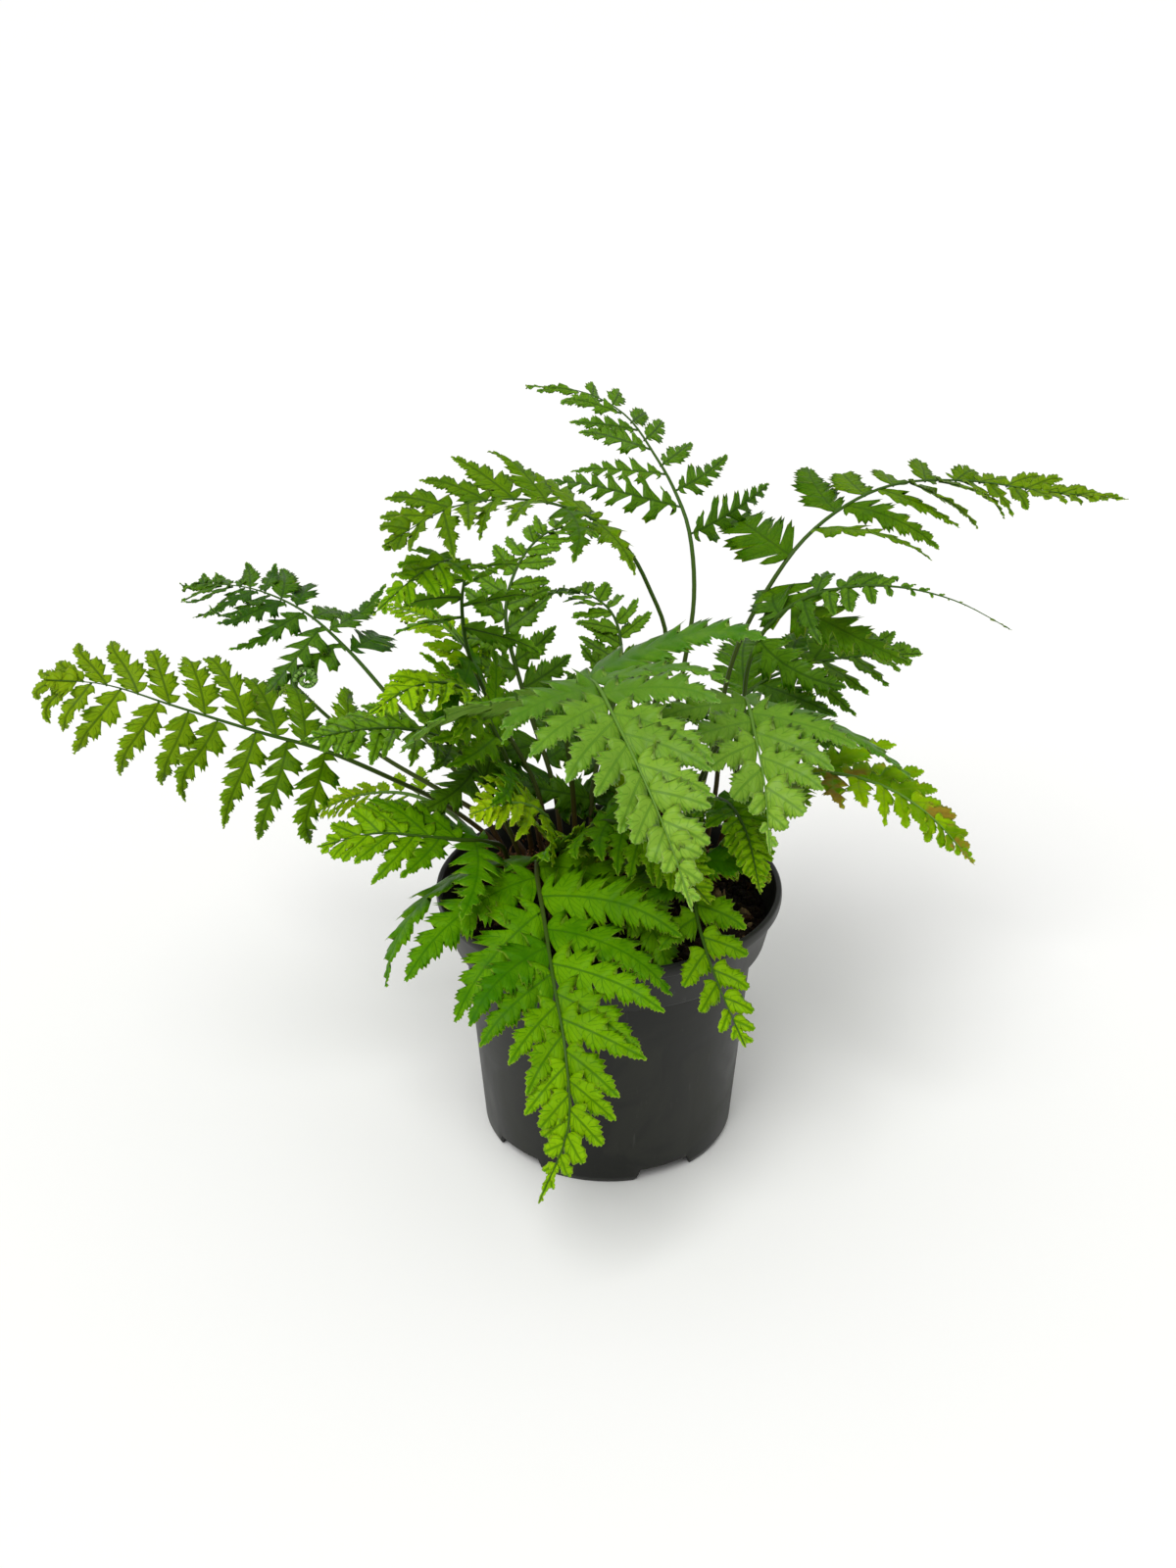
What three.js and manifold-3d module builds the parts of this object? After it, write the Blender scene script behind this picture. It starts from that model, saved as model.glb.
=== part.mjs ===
// A leatherleaf fern growing in a round black nursery pot.
// Millimetres, +Z up. The origin is the middle of the pot's foot, on the surface that it stands on.
// -Y is the plant's front. Each frond is one body: a square stalk that carries thin saw-toothed pinnae.
import * as THREE from "three";
import * as BufferGeometryUtils from "three/addons/utils/BufferGeometryUtils.js";
import Module from "manifold-3d";

const wasm = await Module();
wasm.setup();

// Pot: a thin moulded shell with a lip, a stacking collar, and a foot ring cut by notches. The floor is a
// flat disc with a raised channel round it, which drains through the notches.
const RIM_RADIUS = 60;
const POT_HEIGHT = 96;
const WALL = 1.3;
const LIP_HEIGHT = 4.4;
const LIP_OVERHANG = 2;
const LIP_THICKNESS = 2;
const LIP_FLANK_BOTTOM = 0.3;
const LIP_FLANK_TOP = 1.8;
const LIP_ROUNDING = 0.7;
const COLLAR_BOTTOM_RADIUS = 54.6;
const COLLAR_BOTTOM_Z = 77;
const LEDGE_FALL = 0.8;
const BODY_TOP_RADIUS = 50.6;
const FOOT_RADIUS = 44.8;
const FOOT_CHAMFER = 1.3;
const FOOT_CHAMFER_Z = 2.4;
const FOOT_RING_TOP = 2.1;
const FOOT_RING_BOTTOM = 2.3;
const DISC_RADIUS = 34;
const DISC_DRAFT = 0.4;
const CHANNEL_Z = 5.5;
const SECTORS = 32;
const NOTCHES = 5;
const FIRST_NOTCH_DEG = 225;
const NOTCH_WIDTH = 20;
const NOTCH_SLANT = 2;
const NOTCH_HEIGHT = 5;
const NOTCH_REACH = 6;
const CUT_LENGTH = 20;
const DRAIN_RADIUS = 3.4;
const DRAIN_SIDES = 6;

// Soil and rhizome.
const CLEARANCE = 0.35;
const SOIL_Z = 84;
const SOIL_CROWN = 2.5;
const SOIL_LUMP = 0.9;
const LONG_WAVE = 33;
const SHORT_WAVE = 20;
const SOIL_RINGS = 4;
const RHIZOME_RUN = [
  [-47, 19],
  [-37, 24],
  [-24, 21],
  [-10, 19],
  [5, 21],
  [20, 23],
  [33, 25],
  [45, 24],
];
const RHIZOME_RADIUS = 6.2;
const RHIZOME_RISE = 1.5;
const RHIZOME_KNOB = 0.8;
const RHIZOME_BLUNTNESS = 4;
const RHIZOME_STEPS = 16;
const RHIZOME_SIDES = 8;

// What all the fronds share.
const ROOT_Z = 82.5;
const FOOT_LENGTH = 11;
const STALK_HALF = 1.05;
const STALK_TIP_HALF = 0.6;
const SOCKET_PLAY = 0.4;
const STALK_RINGS = 6;
const INWARD_LEAN = 0.6;
const BLADE_THICKNESS = 0.7;
const PINNA_ROOT_HALF = 1.1;
const PINNA_STAGGER = 0.3;
const TERMINAL_SHARE = 0.36;
const TERMINAL_WIDTH = 0.26;
const PINNA_WIDTH = 0.23;
const WIDTH_TAPER = 0.72;
const TOOTH_ROOM = 0.95;
const FIRST_TOOTH_ROOM = 0.62;
const RIB_SHARE = 0.44;
const LEAST_RIB = 0.5;
const LOBE_LENGTH = 10.5;
const MOST_LOBES = 5;
const LOBE_SWEEP = 1.05;
const LOBE_SAG = 0.14;
const LENGTH_TAPER = 0.85;
const FAN_DEG = [72, 50];
const SWEEP_DEG = 16;
const LOUVRE_DEG = -16;
const POINT_STEP = 0.7;
const LAST_SHARE = 0.95;

// Colours of the fronds, from the young pale ones to the old deep ones.
const GREENS = {
  bright: "#5a9a1c",
  light: "#72a83c",
  deep: "#2f6a17",
  young: "#8fb93c",
};

// Each frond has its root in the soil, the points that its midrib passes through, the side that its face
// looks to, the share of it that is bare stalk, its pairs of pinnae, its longest pinna, how many degrees the
// pinnae rise from the midrib, and how many they bend down again towards their tips. A frond may also have
// its own taper, fan and louvre in place of those above, and its own share of the blade that is uncut.
const FRONDS = [
  {
    name: "frond_front_drooping", green: "bright", root: [-24, 8], facing: [-0.08, -0.4, 1],
    stalk: 0.13, pairs: 8, reach: 53, lift: 7, droop: 38, taper: 0.95, fan: [66, 50], louvre: -24,
    route: [[-24.5, 4, 102], [-24, -22, 110], [-20.5, -48, 106], [-17, -72, 99], [-13, -92, 87],
      [-12, -104, 68], [-21, -112, 45]],
  },
  {
    name: "frond_left_long", green: "bright", root: [-36, 22], facing: [-0.1, -1, 0.5],
    stalk: 0.43, pairs: 8, reach: 36, lift: -5, droop: 30, taper: 0.2, fan: [88, 78], uncut: 0.14,
    route: [[-45, 26, 101], [-60, 24, 114], [-73, 17, 125], [-97, 5, 143], [-116, -5, 154], [-140, -18, 169],
      [-160, -26, 180], [-177, -32, 184]],
  },
  {
    name: "frond_left_back", green: "deep", root: [-30.5, 25.5], facing: [0, -0.1, 1],
    stalk: 0.6, pairs: 6, reach: 34, lift: 10, droop: 15, taper: 0.5, fan: [100, 65], uncut: 0.25,
    route: [[-44, 37, 106], [-65, 50, 124], [-80, 58, 139], [-96, 66, 155], [-112, 73, 167], [-132, 81, 173],
      [-156, 90, 172]],
  },
  {
    name: "frond_left_low", green: "bright", root: [-35, 8], facing: [0, -0.5, 1],
    stalk: 0.42, pairs: 4, reach: 36, lift: 8, droop: 40, fan: [60, 50],
    route: [[-36.5, 4, 106], [-41, -8, 115], [-50, -18, 121], [-62, -25, 126], [-76, -29, 129],
      [-95, -33, 126]],
  },
  {
    name: "frond_left_pale", green: "young", root: [-43, 21], facing: [0, -0.2, 1],
    stalk: 0.5, pairs: 4, reach: 18, lift: 0, droop: 20,
    route: [[-50, 29, 99.5], [-61, 41, 103], [-76, 49, 105], [-93, 51, 103], [-112, 48, 96]],
  },
  {
    name: "frond_front_low", green: "bright", root: [-11, 6], facing: [0, -0.4, 1],
    stalk: 0.3, pairs: 5, reach: 29, lift: 5, droop: 22,
    route: [[-10, 3, 108], [-4, -5, 121], [6, -17, 126], [19, -31, 122], [33, -45, 112]],
  },
  {
    name: "frond_front_small", green: "bright", root: [17, 6], facing: [0, -0.5, 1],
    stalk: 0.3, pairs: 5, reach: 20, lift: 5, droop: 15,
    route: [[20, 0, 105], [25, -10, 114], [28, -23, 115], [28, -40, 109], [31, -56, 102], [36, -69, 93],
      [43, -80, 81]],
  },
  {
    name: "frond_centre_broad", green: "light", root: [-11.5, 18], facing: [0, -0.5, 1],
    stalk: 0.48, pairs: 7, reach: 50, lift: 8, droop: 22,
    route: [[-13, 17, 125], [-15, 10, 150], [-12, -8, 172], [-5, -34, 185], [2, -62, 184], [10, -80, 174],
      [18, -94, 159], [24, -105, 144]],
  },
  {
    name: "frond_right_broad", green: "light", root: [26, 22], facing: [0.1, -0.4, 1],
    stalk: 0.52, pairs: 6, reach: 56, lift: 2, droop: 22, taper: 1.25, louvre: -24,
    route: [[30, 24, 118], [39, 23, 140], [44, 14, 157], [45, -4, 166], [46, -26, 165], [48, -48, 157],
      [49, -67, 142]],
  },
  {
    name: "frond_right_under", green: "bright", root: [20, 20], facing: [0, -0.3, 1],
    stalk: 0.45, pairs: 5, reach: 22, lift: 0, droop: 18,
    route: [[23, 16, 108], [33, 10, 122], [40, -8, 130], [45, -30, 129], [48, -52, 120]],
  },
  {
    name: "frond_right_back", green: "deep", root: [29, 27], facing: [0, -0.35, 1],
    stalk: 0.53, pairs: 5, reach: 42, lift: -5, droop: 25, louvre: -25,
    route: [[33, 34, 114], [41, 43, 138], [54, 47, 151], [70, 47, 158], [88, 45, 162], [110, 43, 164]],
  },
  {
    name: "frond_right_low", green: "young", root: [36, 14], facing: [0, -0.1, 1],
    stalk: 0.44, pairs: 4, reach: 27, lift: 0, droop: 20, uncut: 0.45,
    route: [[41, 14, 106], [54, 11, 123], [71, 1, 137], [89, -13, 140], [104, -25, 135], [118, -37, 123]],
  },
  {
    name: "frond_right_top", green: "bright", root: [34, 23], facing: [0, 0, 1],
    stalk: 0.475, pairs: 7, reach: 38, lift: 3, droop: 22, fan: [80, 55],
    route: [[38, 28, 120], [39, 31, 148], [44, 32, 171], [53, 34, 190], [65, 40, 206], [82, 54, 215],
      [101, 68, 218], [126, 75, 217], [152, 66, 216], [178, 54, 217]],
  },
  {
    name: "frond_right_slender", green: "deep", root: [39, 26], facing: [0, 0, 1],
    stalk: 0.56, pairs: 5, reach: 28, lift: 0, droop: 45, fan: [100, 60], uncut: 0.4,
    route: [[44, 26, 118], [46, 23, 147], [47, 20, 169], [53, 18, 184], [63, 15, 194], [76, 8, 201],
      [92, -2, 205], [109, -12, 204], [126, -19, 197]],
  },
  {
    name: "frond_top", green: "deep", root: [17, 25], facing: [0, 0, 1],
    stalk: 0.57, pairs: 5, reach: 44, lift: 0, droop: 15, fan: [70, 55], louvre: -28,
    route: [[20, 32, 120], [25, 38, 155], [29, 44, 184], [27, 52, 206], [22, 63, 217], [16, 78, 224],
      [5, 98, 234], [-10, 111, 239], [-32, 118, 240]],
  },
  {
    name: "frond_centre_top", green: "bright", root: [5, 22], facing: [0, -0.1, 1],
    stalk: 0.57, pairs: 7, reach: 46, lift: 5, droop: 25, taper: 0.8, fan: [85, 58], uncut: 0.25,
    route: [[8, 24, 122], [15, 25, 150], [19, 24, 177], [13, 20, 196], [5, 13, 213], [-7, 4, 226],
      [-25, -4, 234], [-48, -14, 235], [-69, -32, 228]],
  },
  {
    name: "frond_left_top", green: "bright", root: [-20.5, 19], facing: [0, -0.3, 1],
    stalk: 0.58, pairs: 6, reach: 34, lift: 0, droop: 30, fan: [90, 60],
    route: [[-26, 22, 122], [-40, 23, 150], [-48, 18, 174], [-49, 10, 194], [-47, 0, 209], [-50, -12, 217],
      [-59, -26, 217], [-72, -40, 209]],
  },
  {
    name: "frond_left_pale_high", green: "young", root: [-24, 25], facing: [0, -0.3, 1],
    stalk: 0.68, pairs: 4, reach: 17, lift: 0, droop: 15,
    route: [[-29, 31, 114], [-40, 38, 142], [-50, 43, 164], [-60, 48, 172], [-71, 53, 175], [-84, 57, 177]],
  },
  {
    name: "frond_left_inner", green: "bright", root: [-27, 20], facing: [0, -0.5, 1],
    stalk: 0.5, pairs: 5, reach: 34, lift: 0, droop: 25,
    route: [[-30, 18, 114], [-37, 11, 142], [-44, 2, 162], [-52, -12, 175], [-63, -28, 180], [-76, -42, 176]],
  },
  {
    name: "frond_left_middle", green: "deep", root: [-29.5, 10.5], facing: [0, -0.4, 1],
    stalk: 0.45, pairs: 5, reach: 33, lift: 0, droop: 25,
    route: [[-34, 10, 108], [-45, 12, 130], [-56, 5, 147], [-68, -6, 156], [-82, -18, 161], [-99, -29, 162]],
  },
  {
    name: "frond_back_centre", green: "deep", root: [-6, 21], facing: [0, -0.1, 1],
    stalk: 0.52, pairs: 5, reach: 30, lift: 5, droop: 15, fan: [80, 60],
    route: [[-6, 28, 118], [1, 41, 143], [4, 52, 161], [0, 65, 171], [-13, 78, 174], [-30, 88, 168]],
  },
  {
    name: "frond_back_left", green: "deep", root: [-16.5, 22], facing: [0, -0.4, 1],
    stalk: 0.5, pairs: 5, reach: 30, lift: 0, droop: 20, fan: [85, 60],
    route: [[-20, 30, 118], [-31, 41, 150], [-37, 50, 176], [-32, 62, 191], [-22, 74, 198], [-8, 84, 196],
      [8, 92, 184]],
  },
  {
    name: "frond_centre_young", green: "young", root: [-0.5, 19], facing: [0, -0.5, 1],
    stalk: 0.4, pairs: 4, reach: 22, lift: 0, droop: 15,
    route: [[3, 20, 108], [7, 14, 128], [6, 2, 141], [0, -12, 147]],
  },
  {
    name: "frond_left_young", green: "young", root: [-17, 11], facing: [0, -0.5, 1],
    stalk: 0.45, pairs: 4, reach: 22, lift: 0, droop: 15,
    route: [[-18, 7, 108], [-23, -3, 124], [-33, -14, 133], [-46, -25, 134]],
  },
  {
    name: "frond_right_young", green: "young", root: [29, 6], facing: [0, -0.4, 1],
    stalk: 0.4, pairs: 4, reach: 15, lift: 0, droop: 15,
    route: [[32, 4, 101], [38, -2, 108], [46, -9, 109], [54, -18, 105]],
  },
];

// A young frond that is still coiled at its tip.
const CROZIER = {
  root: [-38, 27],
  route: [[-45, 31, 104], [-60, 36, 112], [-80, 38, 124], [-98, 37, 139], [-110, 35, 153]],
  coilRadius: 4.6,
  coilTurns: 1.3,
  coilCloses: 0.65,
  coilHalf: 0.75,
  coilSteps: 14,
};

const UP = new THREE.Vector3(0, 0, 1);
const radians = THREE.MathUtils.degToRad;
const vector = ([x, y, z]) => new THREE.Vector3(x, y, z);

// One direction turned by an angle towards another that is square to it.
function turnedTo(from, to, angle) {
  return from.clone().multiplyScalar(Math.cos(angle)).addScaledVector(to, Math.sin(angle));
}

// A mesh that is filled vertex by vertex and face by face.
class Skin {
  constructor() {
    this.positions = [];
    this.faces = [];
  }

  vertex(point) {
    this.positions.push(point.x, point.y, point.z);
    return this.positions.length / 3 - 1;
  }

  triangle(a, b, c, flip = false) {
    this.faces.push(a, flip ? c : b, flip ? b : c);
  }

  // Two triangles that share the diagonal from a to c.
  quad(a, b, c, d, flip = false) {
    this.triangle(a, b, c, flip);
    this.triangle(a, c, d, flip);
  }

  geometry() {
    const geometry = new THREE.BufferGeometry();
    geometry.setAttribute("position", new THREE.Float32BufferAttribute(this.positions, 3));
    geometry.setIndex(this.faces);
    return geometry;
  }
}

// Solids for cutting.
function toManifold(source) {
  const bare = source.clone();
  bare.deleteAttribute("normal");
  bare.deleteAttribute("uv");
  const merged = BufferGeometryUtils.mergeVertices(bare, 1e-4);
  const mesh = new wasm.Mesh({
    numProp: 3,
    vertProperties: new Float32Array(merged.attributes.position.array),
    triVerts: new Uint32Array(merged.index.array),
  });
  return new wasm.Manifold(mesh);
}

function toGeometry(solid) {
  const mesh = solid.getMesh();
  const geometry = new THREE.BufferGeometry();
  geometry.setAttribute("position", new THREE.Float32BufferAttribute(mesh.vertProperties, 3));
  geometry.setIndex(Array.from(mesh.triVerts));
  return geometry;
}

function subtractAll(solid, cutters) {
  return cutters.reduce((rest, cutter) => rest.subtract(cutter), solid);
}

// The midrib of a frond above its foot. Its face turns from the plant's middle to its own side along the
// bare stalk.
class Midrib {
  constructor({ root: [x, y], route, facing = [0, 0, 1], stalk = 1 }) {
    this.foot = new THREE.Vector3(x, y, ROOT_Z);
    const knee = new THREE.Vector3(x, y, ROOT_Z + FOOT_LENGTH);
    this.curve = new THREE.CatmullRomCurve3([knee, ...route.map(vector)], false, "centripetal");
    this.length = this.curve.getLength();
    this.heading = this.curve.points.at(-1).clone().sub(knee).setZ(0).normalize();
    this.facing = vector(facing).normalize();
    this.stalk = stalk;
  }

  // Directions for a point of the midrib: along it, up from its face, and to its right.
  turned(point, along, facing) {
    const up = facing.clone().addScaledVector(along, -facing.dot(along)).normalize();
    return { point, along, up, right: along.clone().cross(up) };
  }

  frameAt(u) {
    const turn = THREE.MathUtils.smoothstep(u, 0, this.stalk);
    const inward = UP.clone().addScaledVector(this.heading, -INWARD_LEAN);
    return this.turned(this.curve.getPointAt(u), this.curve.getTangentAt(u), inward.lerp(this.facing, turn));
  }

  footFrame() {
    return this.turned(this.foot, UP.clone(), this.heading.clone().negate());
  }
}

// A square ring round a stalk. Its left and right corners may belong to different frames.
function ringRound(skin, left, right, half) {
  const corner = (place, side, rise) => skin.vertex(
    place.point.clone().addScaledVector(place.right, side * half).addScaledVector(place.up, rise * half),
  );
  return {
    leftTop: corner(left, -1, 1),
    rightTop: corner(right, 1, 1),
    rightBottom: corner(right, 1, -1),
    leftBottom: corner(left, -1, -1),
  };
}

// The stretch of stalk between two rings. A side that a pinna grows from stays open.
function joinRings(skin, from, to, openSides) {
  skin.quad(from.rightTop, to.rightTop, to.leftTop, from.leftTop);
  skin.quad(from.rightBottom, from.leftBottom, to.leftBottom, to.rightBottom);
  if (openSides) {
    return;
  }
  skin.quad(from.rightTop, from.rightBottom, to.rightBottom, to.rightTop);
  skin.quad(from.leftTop, to.leftTop, to.leftBottom, from.leftBottom);
}

function capStart(skin, ring) {
  skin.quad(ring.leftTop, ring.leftBottom, ring.rightBottom, ring.rightTop);
}

function capEnd(skin, ring) {
  skin.quad(ring.leftTop, ring.rightTop, ring.rightBottom, ring.leftBottom);
}

// One tooth of a blade, between two of its sections. Its point is a single vertex.
function addTooth(skin, topA, topB, bottomA, bottomB, point, flip) {
  const tip = skin.vertex(point);
  skin.triangle(topA, topB, tip, flip);
  skin.triangle(bottomA, tip, bottomB, flip);
  skin.triangle(topA, tip, bottomA, flip);
  skin.triangle(topB, bottomB, tip, flip);
}

// A blade grows from an open side or end of a stalk. Its stations give its centre, its directions and its
// half width, and its outline is cut into one tooth a side between each two of them.
function growBlade(skin, first, { stations, end }, flip) {
  let last = first;
  for (const station of stations) {
    const rib = Math.max(station.half * RIB_SHARE, LEAST_RIB);
    const corner = (side, rise) => skin.vertex(
      station.centre.clone()
        .addScaledVector(station.across, side * rib)
        .addScaledVector(station.up, rise * BLADE_THICKNESS / 2),
    );
    const next = {
      nearTop: corner(-1, 1),
      farTop: corner(1, 1),
      nearBottom: corner(-1, -1),
      farBottom: corner(1, -1),
    };
    const toothPoint = (side) => station.centre.clone()
      .addScaledVector(station.along, station.step * (LOBE_SWEEP - 1))
      .addScaledVector(station.across, side * station.half)
      .addScaledVector(station.up, -LOBE_SAG * station.half);
    skin.quad(last.nearTop, next.nearTop, next.farTop, last.farTop, flip);
    skin.triangle(last.nearBottom, next.farBottom, next.nearBottom, flip);
    skin.triangle(last.nearBottom, last.farBottom, next.farBottom, flip);
    addTooth(skin, last.farTop, next.farTop, last.farBottom, next.farBottom, toothPoint(1), flip);
    addTooth(skin, next.nearTop, last.nearTop, next.nearBottom, last.nearBottom, toothPoint(-1), flip);
    last = next;
  }
  const tip = skin.vertex(end);
  skin.triangle(last.nearTop, tip, last.farTop, flip);
  skin.triangle(last.nearBottom, last.farBottom, tip, flip);
  skin.triangle(last.nearTop, last.nearBottom, tip, flip);
  skin.triangle(last.farTop, tip, last.farBottom, flip);
}

const lobesFor = (length) => THREE.MathUtils.clamp(Math.round(length / LOBE_LENGTH), 1, MOST_LOBES);
const taperedWidth = (width, t) => width * (1 - t) ** WIDTH_TAPER;

// The stations of one pinna. It leaves the midrib sideways and forward, rises by the frond's lift, bends down
// by its droop, sweeps towards the frond's tip, and is tilted so that each pinna lies over the next one.
function pinnaStations(place, side, length, angleDeg, room, frond) {
  const lobes = lobesFor(length);
  const step = length / (lobes + POINT_STEP);
  const angle = radians(angleDeg);
  const outward = turnedTo(place.along, place.right.clone().multiplyScalar(side), angle);
  const forward = place.along.clone().addScaledVector(outward, -place.along.dot(outward)).normalize();
  const centre = place.point.clone();
  const stations = [];
  for (let j = 1; j <= lobes + 1; j += 1) {
    const t = (j - 0.5) * step / frond.reach;
    const bend = radians(frond.droop * t - frond.lift);
    const sweep = radians(SWEEP_DEG * t);
    const level = turnedTo(outward, forward, sweep);
    const along = turnedTo(level, place.up, -bend);
    const flatAcross = forward.clone().addScaledVector(along, -forward.dot(along)).normalize();
    const flatUp = along.clone().cross(flatAcross).multiplyScalar(side > 0 ? 1 : -1);
    const louvre = radians(frond.louvre ?? LOUVRE_DEG);
    const across = turnedTo(flatAcross, flatUp, louvre);
    const up = turnedTo(flatUp, flatAcross, -louvre);
    centre.addScaledVector(along, j > lobes ? POINT_STEP * step : step);
    const widest = room * (j === 1 ? FIRST_TOOTH_ROOM : TOOTH_ROOM);
    const share = Math.min(j * step / length, LAST_SHARE);
    const half = Math.min(taperedWidth(length * PINNA_WIDTH, share), widest);
    stations.push({ centre: centre.clone(), along, across, up, step, half });
  }
  const end = stations.pop().centre;
  return { stations, end };
}

// The stations of a frond's end, where its lobes are no longer cut apart.
function terminalStations(midrib, startU, half) {
  const steps = MOST_LOBES + POINT_STEP;
  const stations = [];
  for (let j = 1; j <= MOST_LOBES; j += 1) {
    const t = j / steps;
    const place = midrib.frameAt(THREE.MathUtils.lerp(startU, 1, t));
    stations.push({
      centre: place.point,
      along: place.along,
      across: place.right.clone().negate(),
      up: place.up,
      step: midrib.length * (1 - startU) / steps,
      half: taperedWidth(half, t),
    });
  }
  return { stations, end: midrib.curve.getPointAt(1) };
}

// The bare stalk, from the foot in the soil up to where the first pinna grows.
function growStalk(skin, midrib, topU) {
  const foot = midrib.footFrame();
  let ring = ringRound(skin, foot, foot, STALK_HALF);
  capStart(skin, ring);
  for (let i = 0; i <= STALK_RINGS; i += 1) {
    const u = topU * i / STALK_RINGS;
    const place = midrib.frameAt(u);
    const next = ringRound(skin, place, place, THREE.MathUtils.lerp(STALK_HALF, STALK_TIP_HALF, u));
    joinRings(skin, ring, next, false);
    ring = next;
  }
  return ring;
}

// A whole frond: bare stalk, pairs of pinnae that shorten towards the tip, and the uncut end.
function frondGeometry(frond) {
  const skin = new Skin();
  const midrib = new Midrib(frond);
  const blade = 1 - frond.stalk;
  const uncut = frond.uncut ?? TERMINAL_SHARE;
  const spacing = blade * (1 - uncut) / frond.pairs;
  const stagger = spacing * PINNA_STAGGER;
  const rootShare = PINNA_ROOT_HALF / midrib.length;
  const room = spacing * midrib.length;
  let ring = growStalk(skin, midrib, frond.stalk - stagger - 2 * rootShare);

  for (let k = 0; k < frond.pairs; k += 1) {
    const u = frond.stalk + spacing * k;
    const half = THREE.MathUtils.lerp(STALK_HALF, STALK_TIP_HALF, u);
    const leftU = u + stagger;
    const rightU = u - stagger;
    const ringNear = (shift) => ringRound(
      skin, midrib.frameAt(leftU + shift), midrib.frameAt(rightU + shift), half,
    );
    const before = ringNear(-rootShare);
    const after = ringNear(rootShare);
    joinRings(skin, ring, before, false);
    joinRings(skin, before, after, true);
    for (const [name, side, pinnaU] of [["left", -1, leftU], ["right", 1, rightU]]) {
      const share = Math.max((pinnaU - frond.stalk) / blade, 0);
      const length = frond.reach * (1 - share) ** (frond.taper ?? LENGTH_TAPER);
      const [baseAngle, tipAngle] = frond.fan ?? FAN_DEG;
      const angle = THREE.MathUtils.lerp(baseAngle, tipAngle, share / (1 - uncut));
      const place = midrib.frameAt(pinnaU);
      place.point.addScaledVector(place.right, side * half);
      const open = {
        nearTop: before[`${name}Top`],
        farTop: after[`${name}Top`],
        nearBottom: before[`${name}Bottom`],
        farBottom: after[`${name}Bottom`],
      };
      growBlade(skin, open, pinnaStations(place, side, length, angle, room, frond), side < 0);
    }
    ring = after;
  }

  const neckU = frond.stalk + spacing * frond.pairs;
  const neckFrame = midrib.frameAt(neckU);
  const neck = ringRound(skin, neckFrame, neckFrame, STALK_TIP_HALF);
  joinRings(skin, ring, neck, false);
  const open = {
    nearTop: neck.rightTop,
    farTop: neck.leftTop,
    nearBottom: neck.rightBottom,
    farBottom: neck.leftBottom,
  };
  growBlade(skin, open, terminalStations(midrib, neckU, frond.reach * TERMINAL_WIDTH), false);
  return skin.geometry();
}

// The young coiled frond: a bare stalk whose end winds inward.
function crozierGeometry(crozier) {
  const skin = new Skin();
  const midrib = new Midrib(crozier);
  let ring = growStalk(skin, midrib, 1);
  const { point, along, up, right } = midrib.frameAt(1);
  const middle = point.clone().addScaledVector(up, crozier.coilRadius);
  for (let i = 1; i <= crozier.coilSteps; i += 1) {
    const t = i / crozier.coilSteps;
    const turn = t * crozier.coilTurns * 2 * Math.PI;
    const radius = crozier.coilRadius * (1 - crozier.coilCloses * t);
    const inward = turnedTo(up, along, -turn);
    const forward = turnedTo(along, up, turn);
    const centre = middle.clone().addScaledVector(inward, -radius);
    const place = { point: centre, along: forward, up: inward, right };
    const next = ringRound(skin, place, place, crozier.coilHalf);
    joinRings(skin, ring, next, false);
    ring = next;
  }
  capEnd(skin, ring);
  return skin.geometry();
}

// The plain hole that a stalk stands in.
function socket(plant) {
  const { foot, heading } = new Midrib(plant);
  const width = 2 * (STALK_HALF + SOCKET_PLAY);
  const hole = new THREE.BoxGeometry(width, width, 2 * FOOT_LENGTH);
  hole.rotateZ(Math.atan2(heading.y, heading.x));
  hole.translate(foot.x, foot.y, foot.z - CLEARANCE + FOOT_LENGTH);
  return toManifold(hole);
}

// A turned solid. Its outline is a list of [radius, height] that starts and ends on the axis.
function turned(outline, sectors) {
  const points = outline.map(([radius, height]) => new THREE.Vector2(radius, height));
  return new THREE.LatheGeometry(points, sectors).rotateX(Math.PI / 2);
}

// Places on the pot's inside, from the floor up to the rim.
const bodySlope = (BODY_TOP_RADIUS - FOOT_RADIUS) / (COLLAR_BOTTOM_Z - FOOT_CHAMFER_Z);
const bodyRadius = (z) => FOOT_RADIUS + (z - FOOT_CHAMFER_Z) * bodySlope;
const collarTopZ = POT_HEIGHT - LIP_HEIGHT;
const collarTopRadius = RIM_RADIUS - LIP_OVERHANG;
const collarSlope = (collarTopRadius - COLLAR_BOTTOM_RADIUS) / (collarTopZ - COLLAR_BOTTOM_Z);
const collarRadius = (z) => COLLAR_BOTTOM_RADIUS + (z - COLLAR_BOTTOM_Z) * collarSlope;
const channelFloorZ = CHANNEL_Z + WALL;
const ledgeZ = COLLAR_BOTTOM_Z + WALL;

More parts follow.
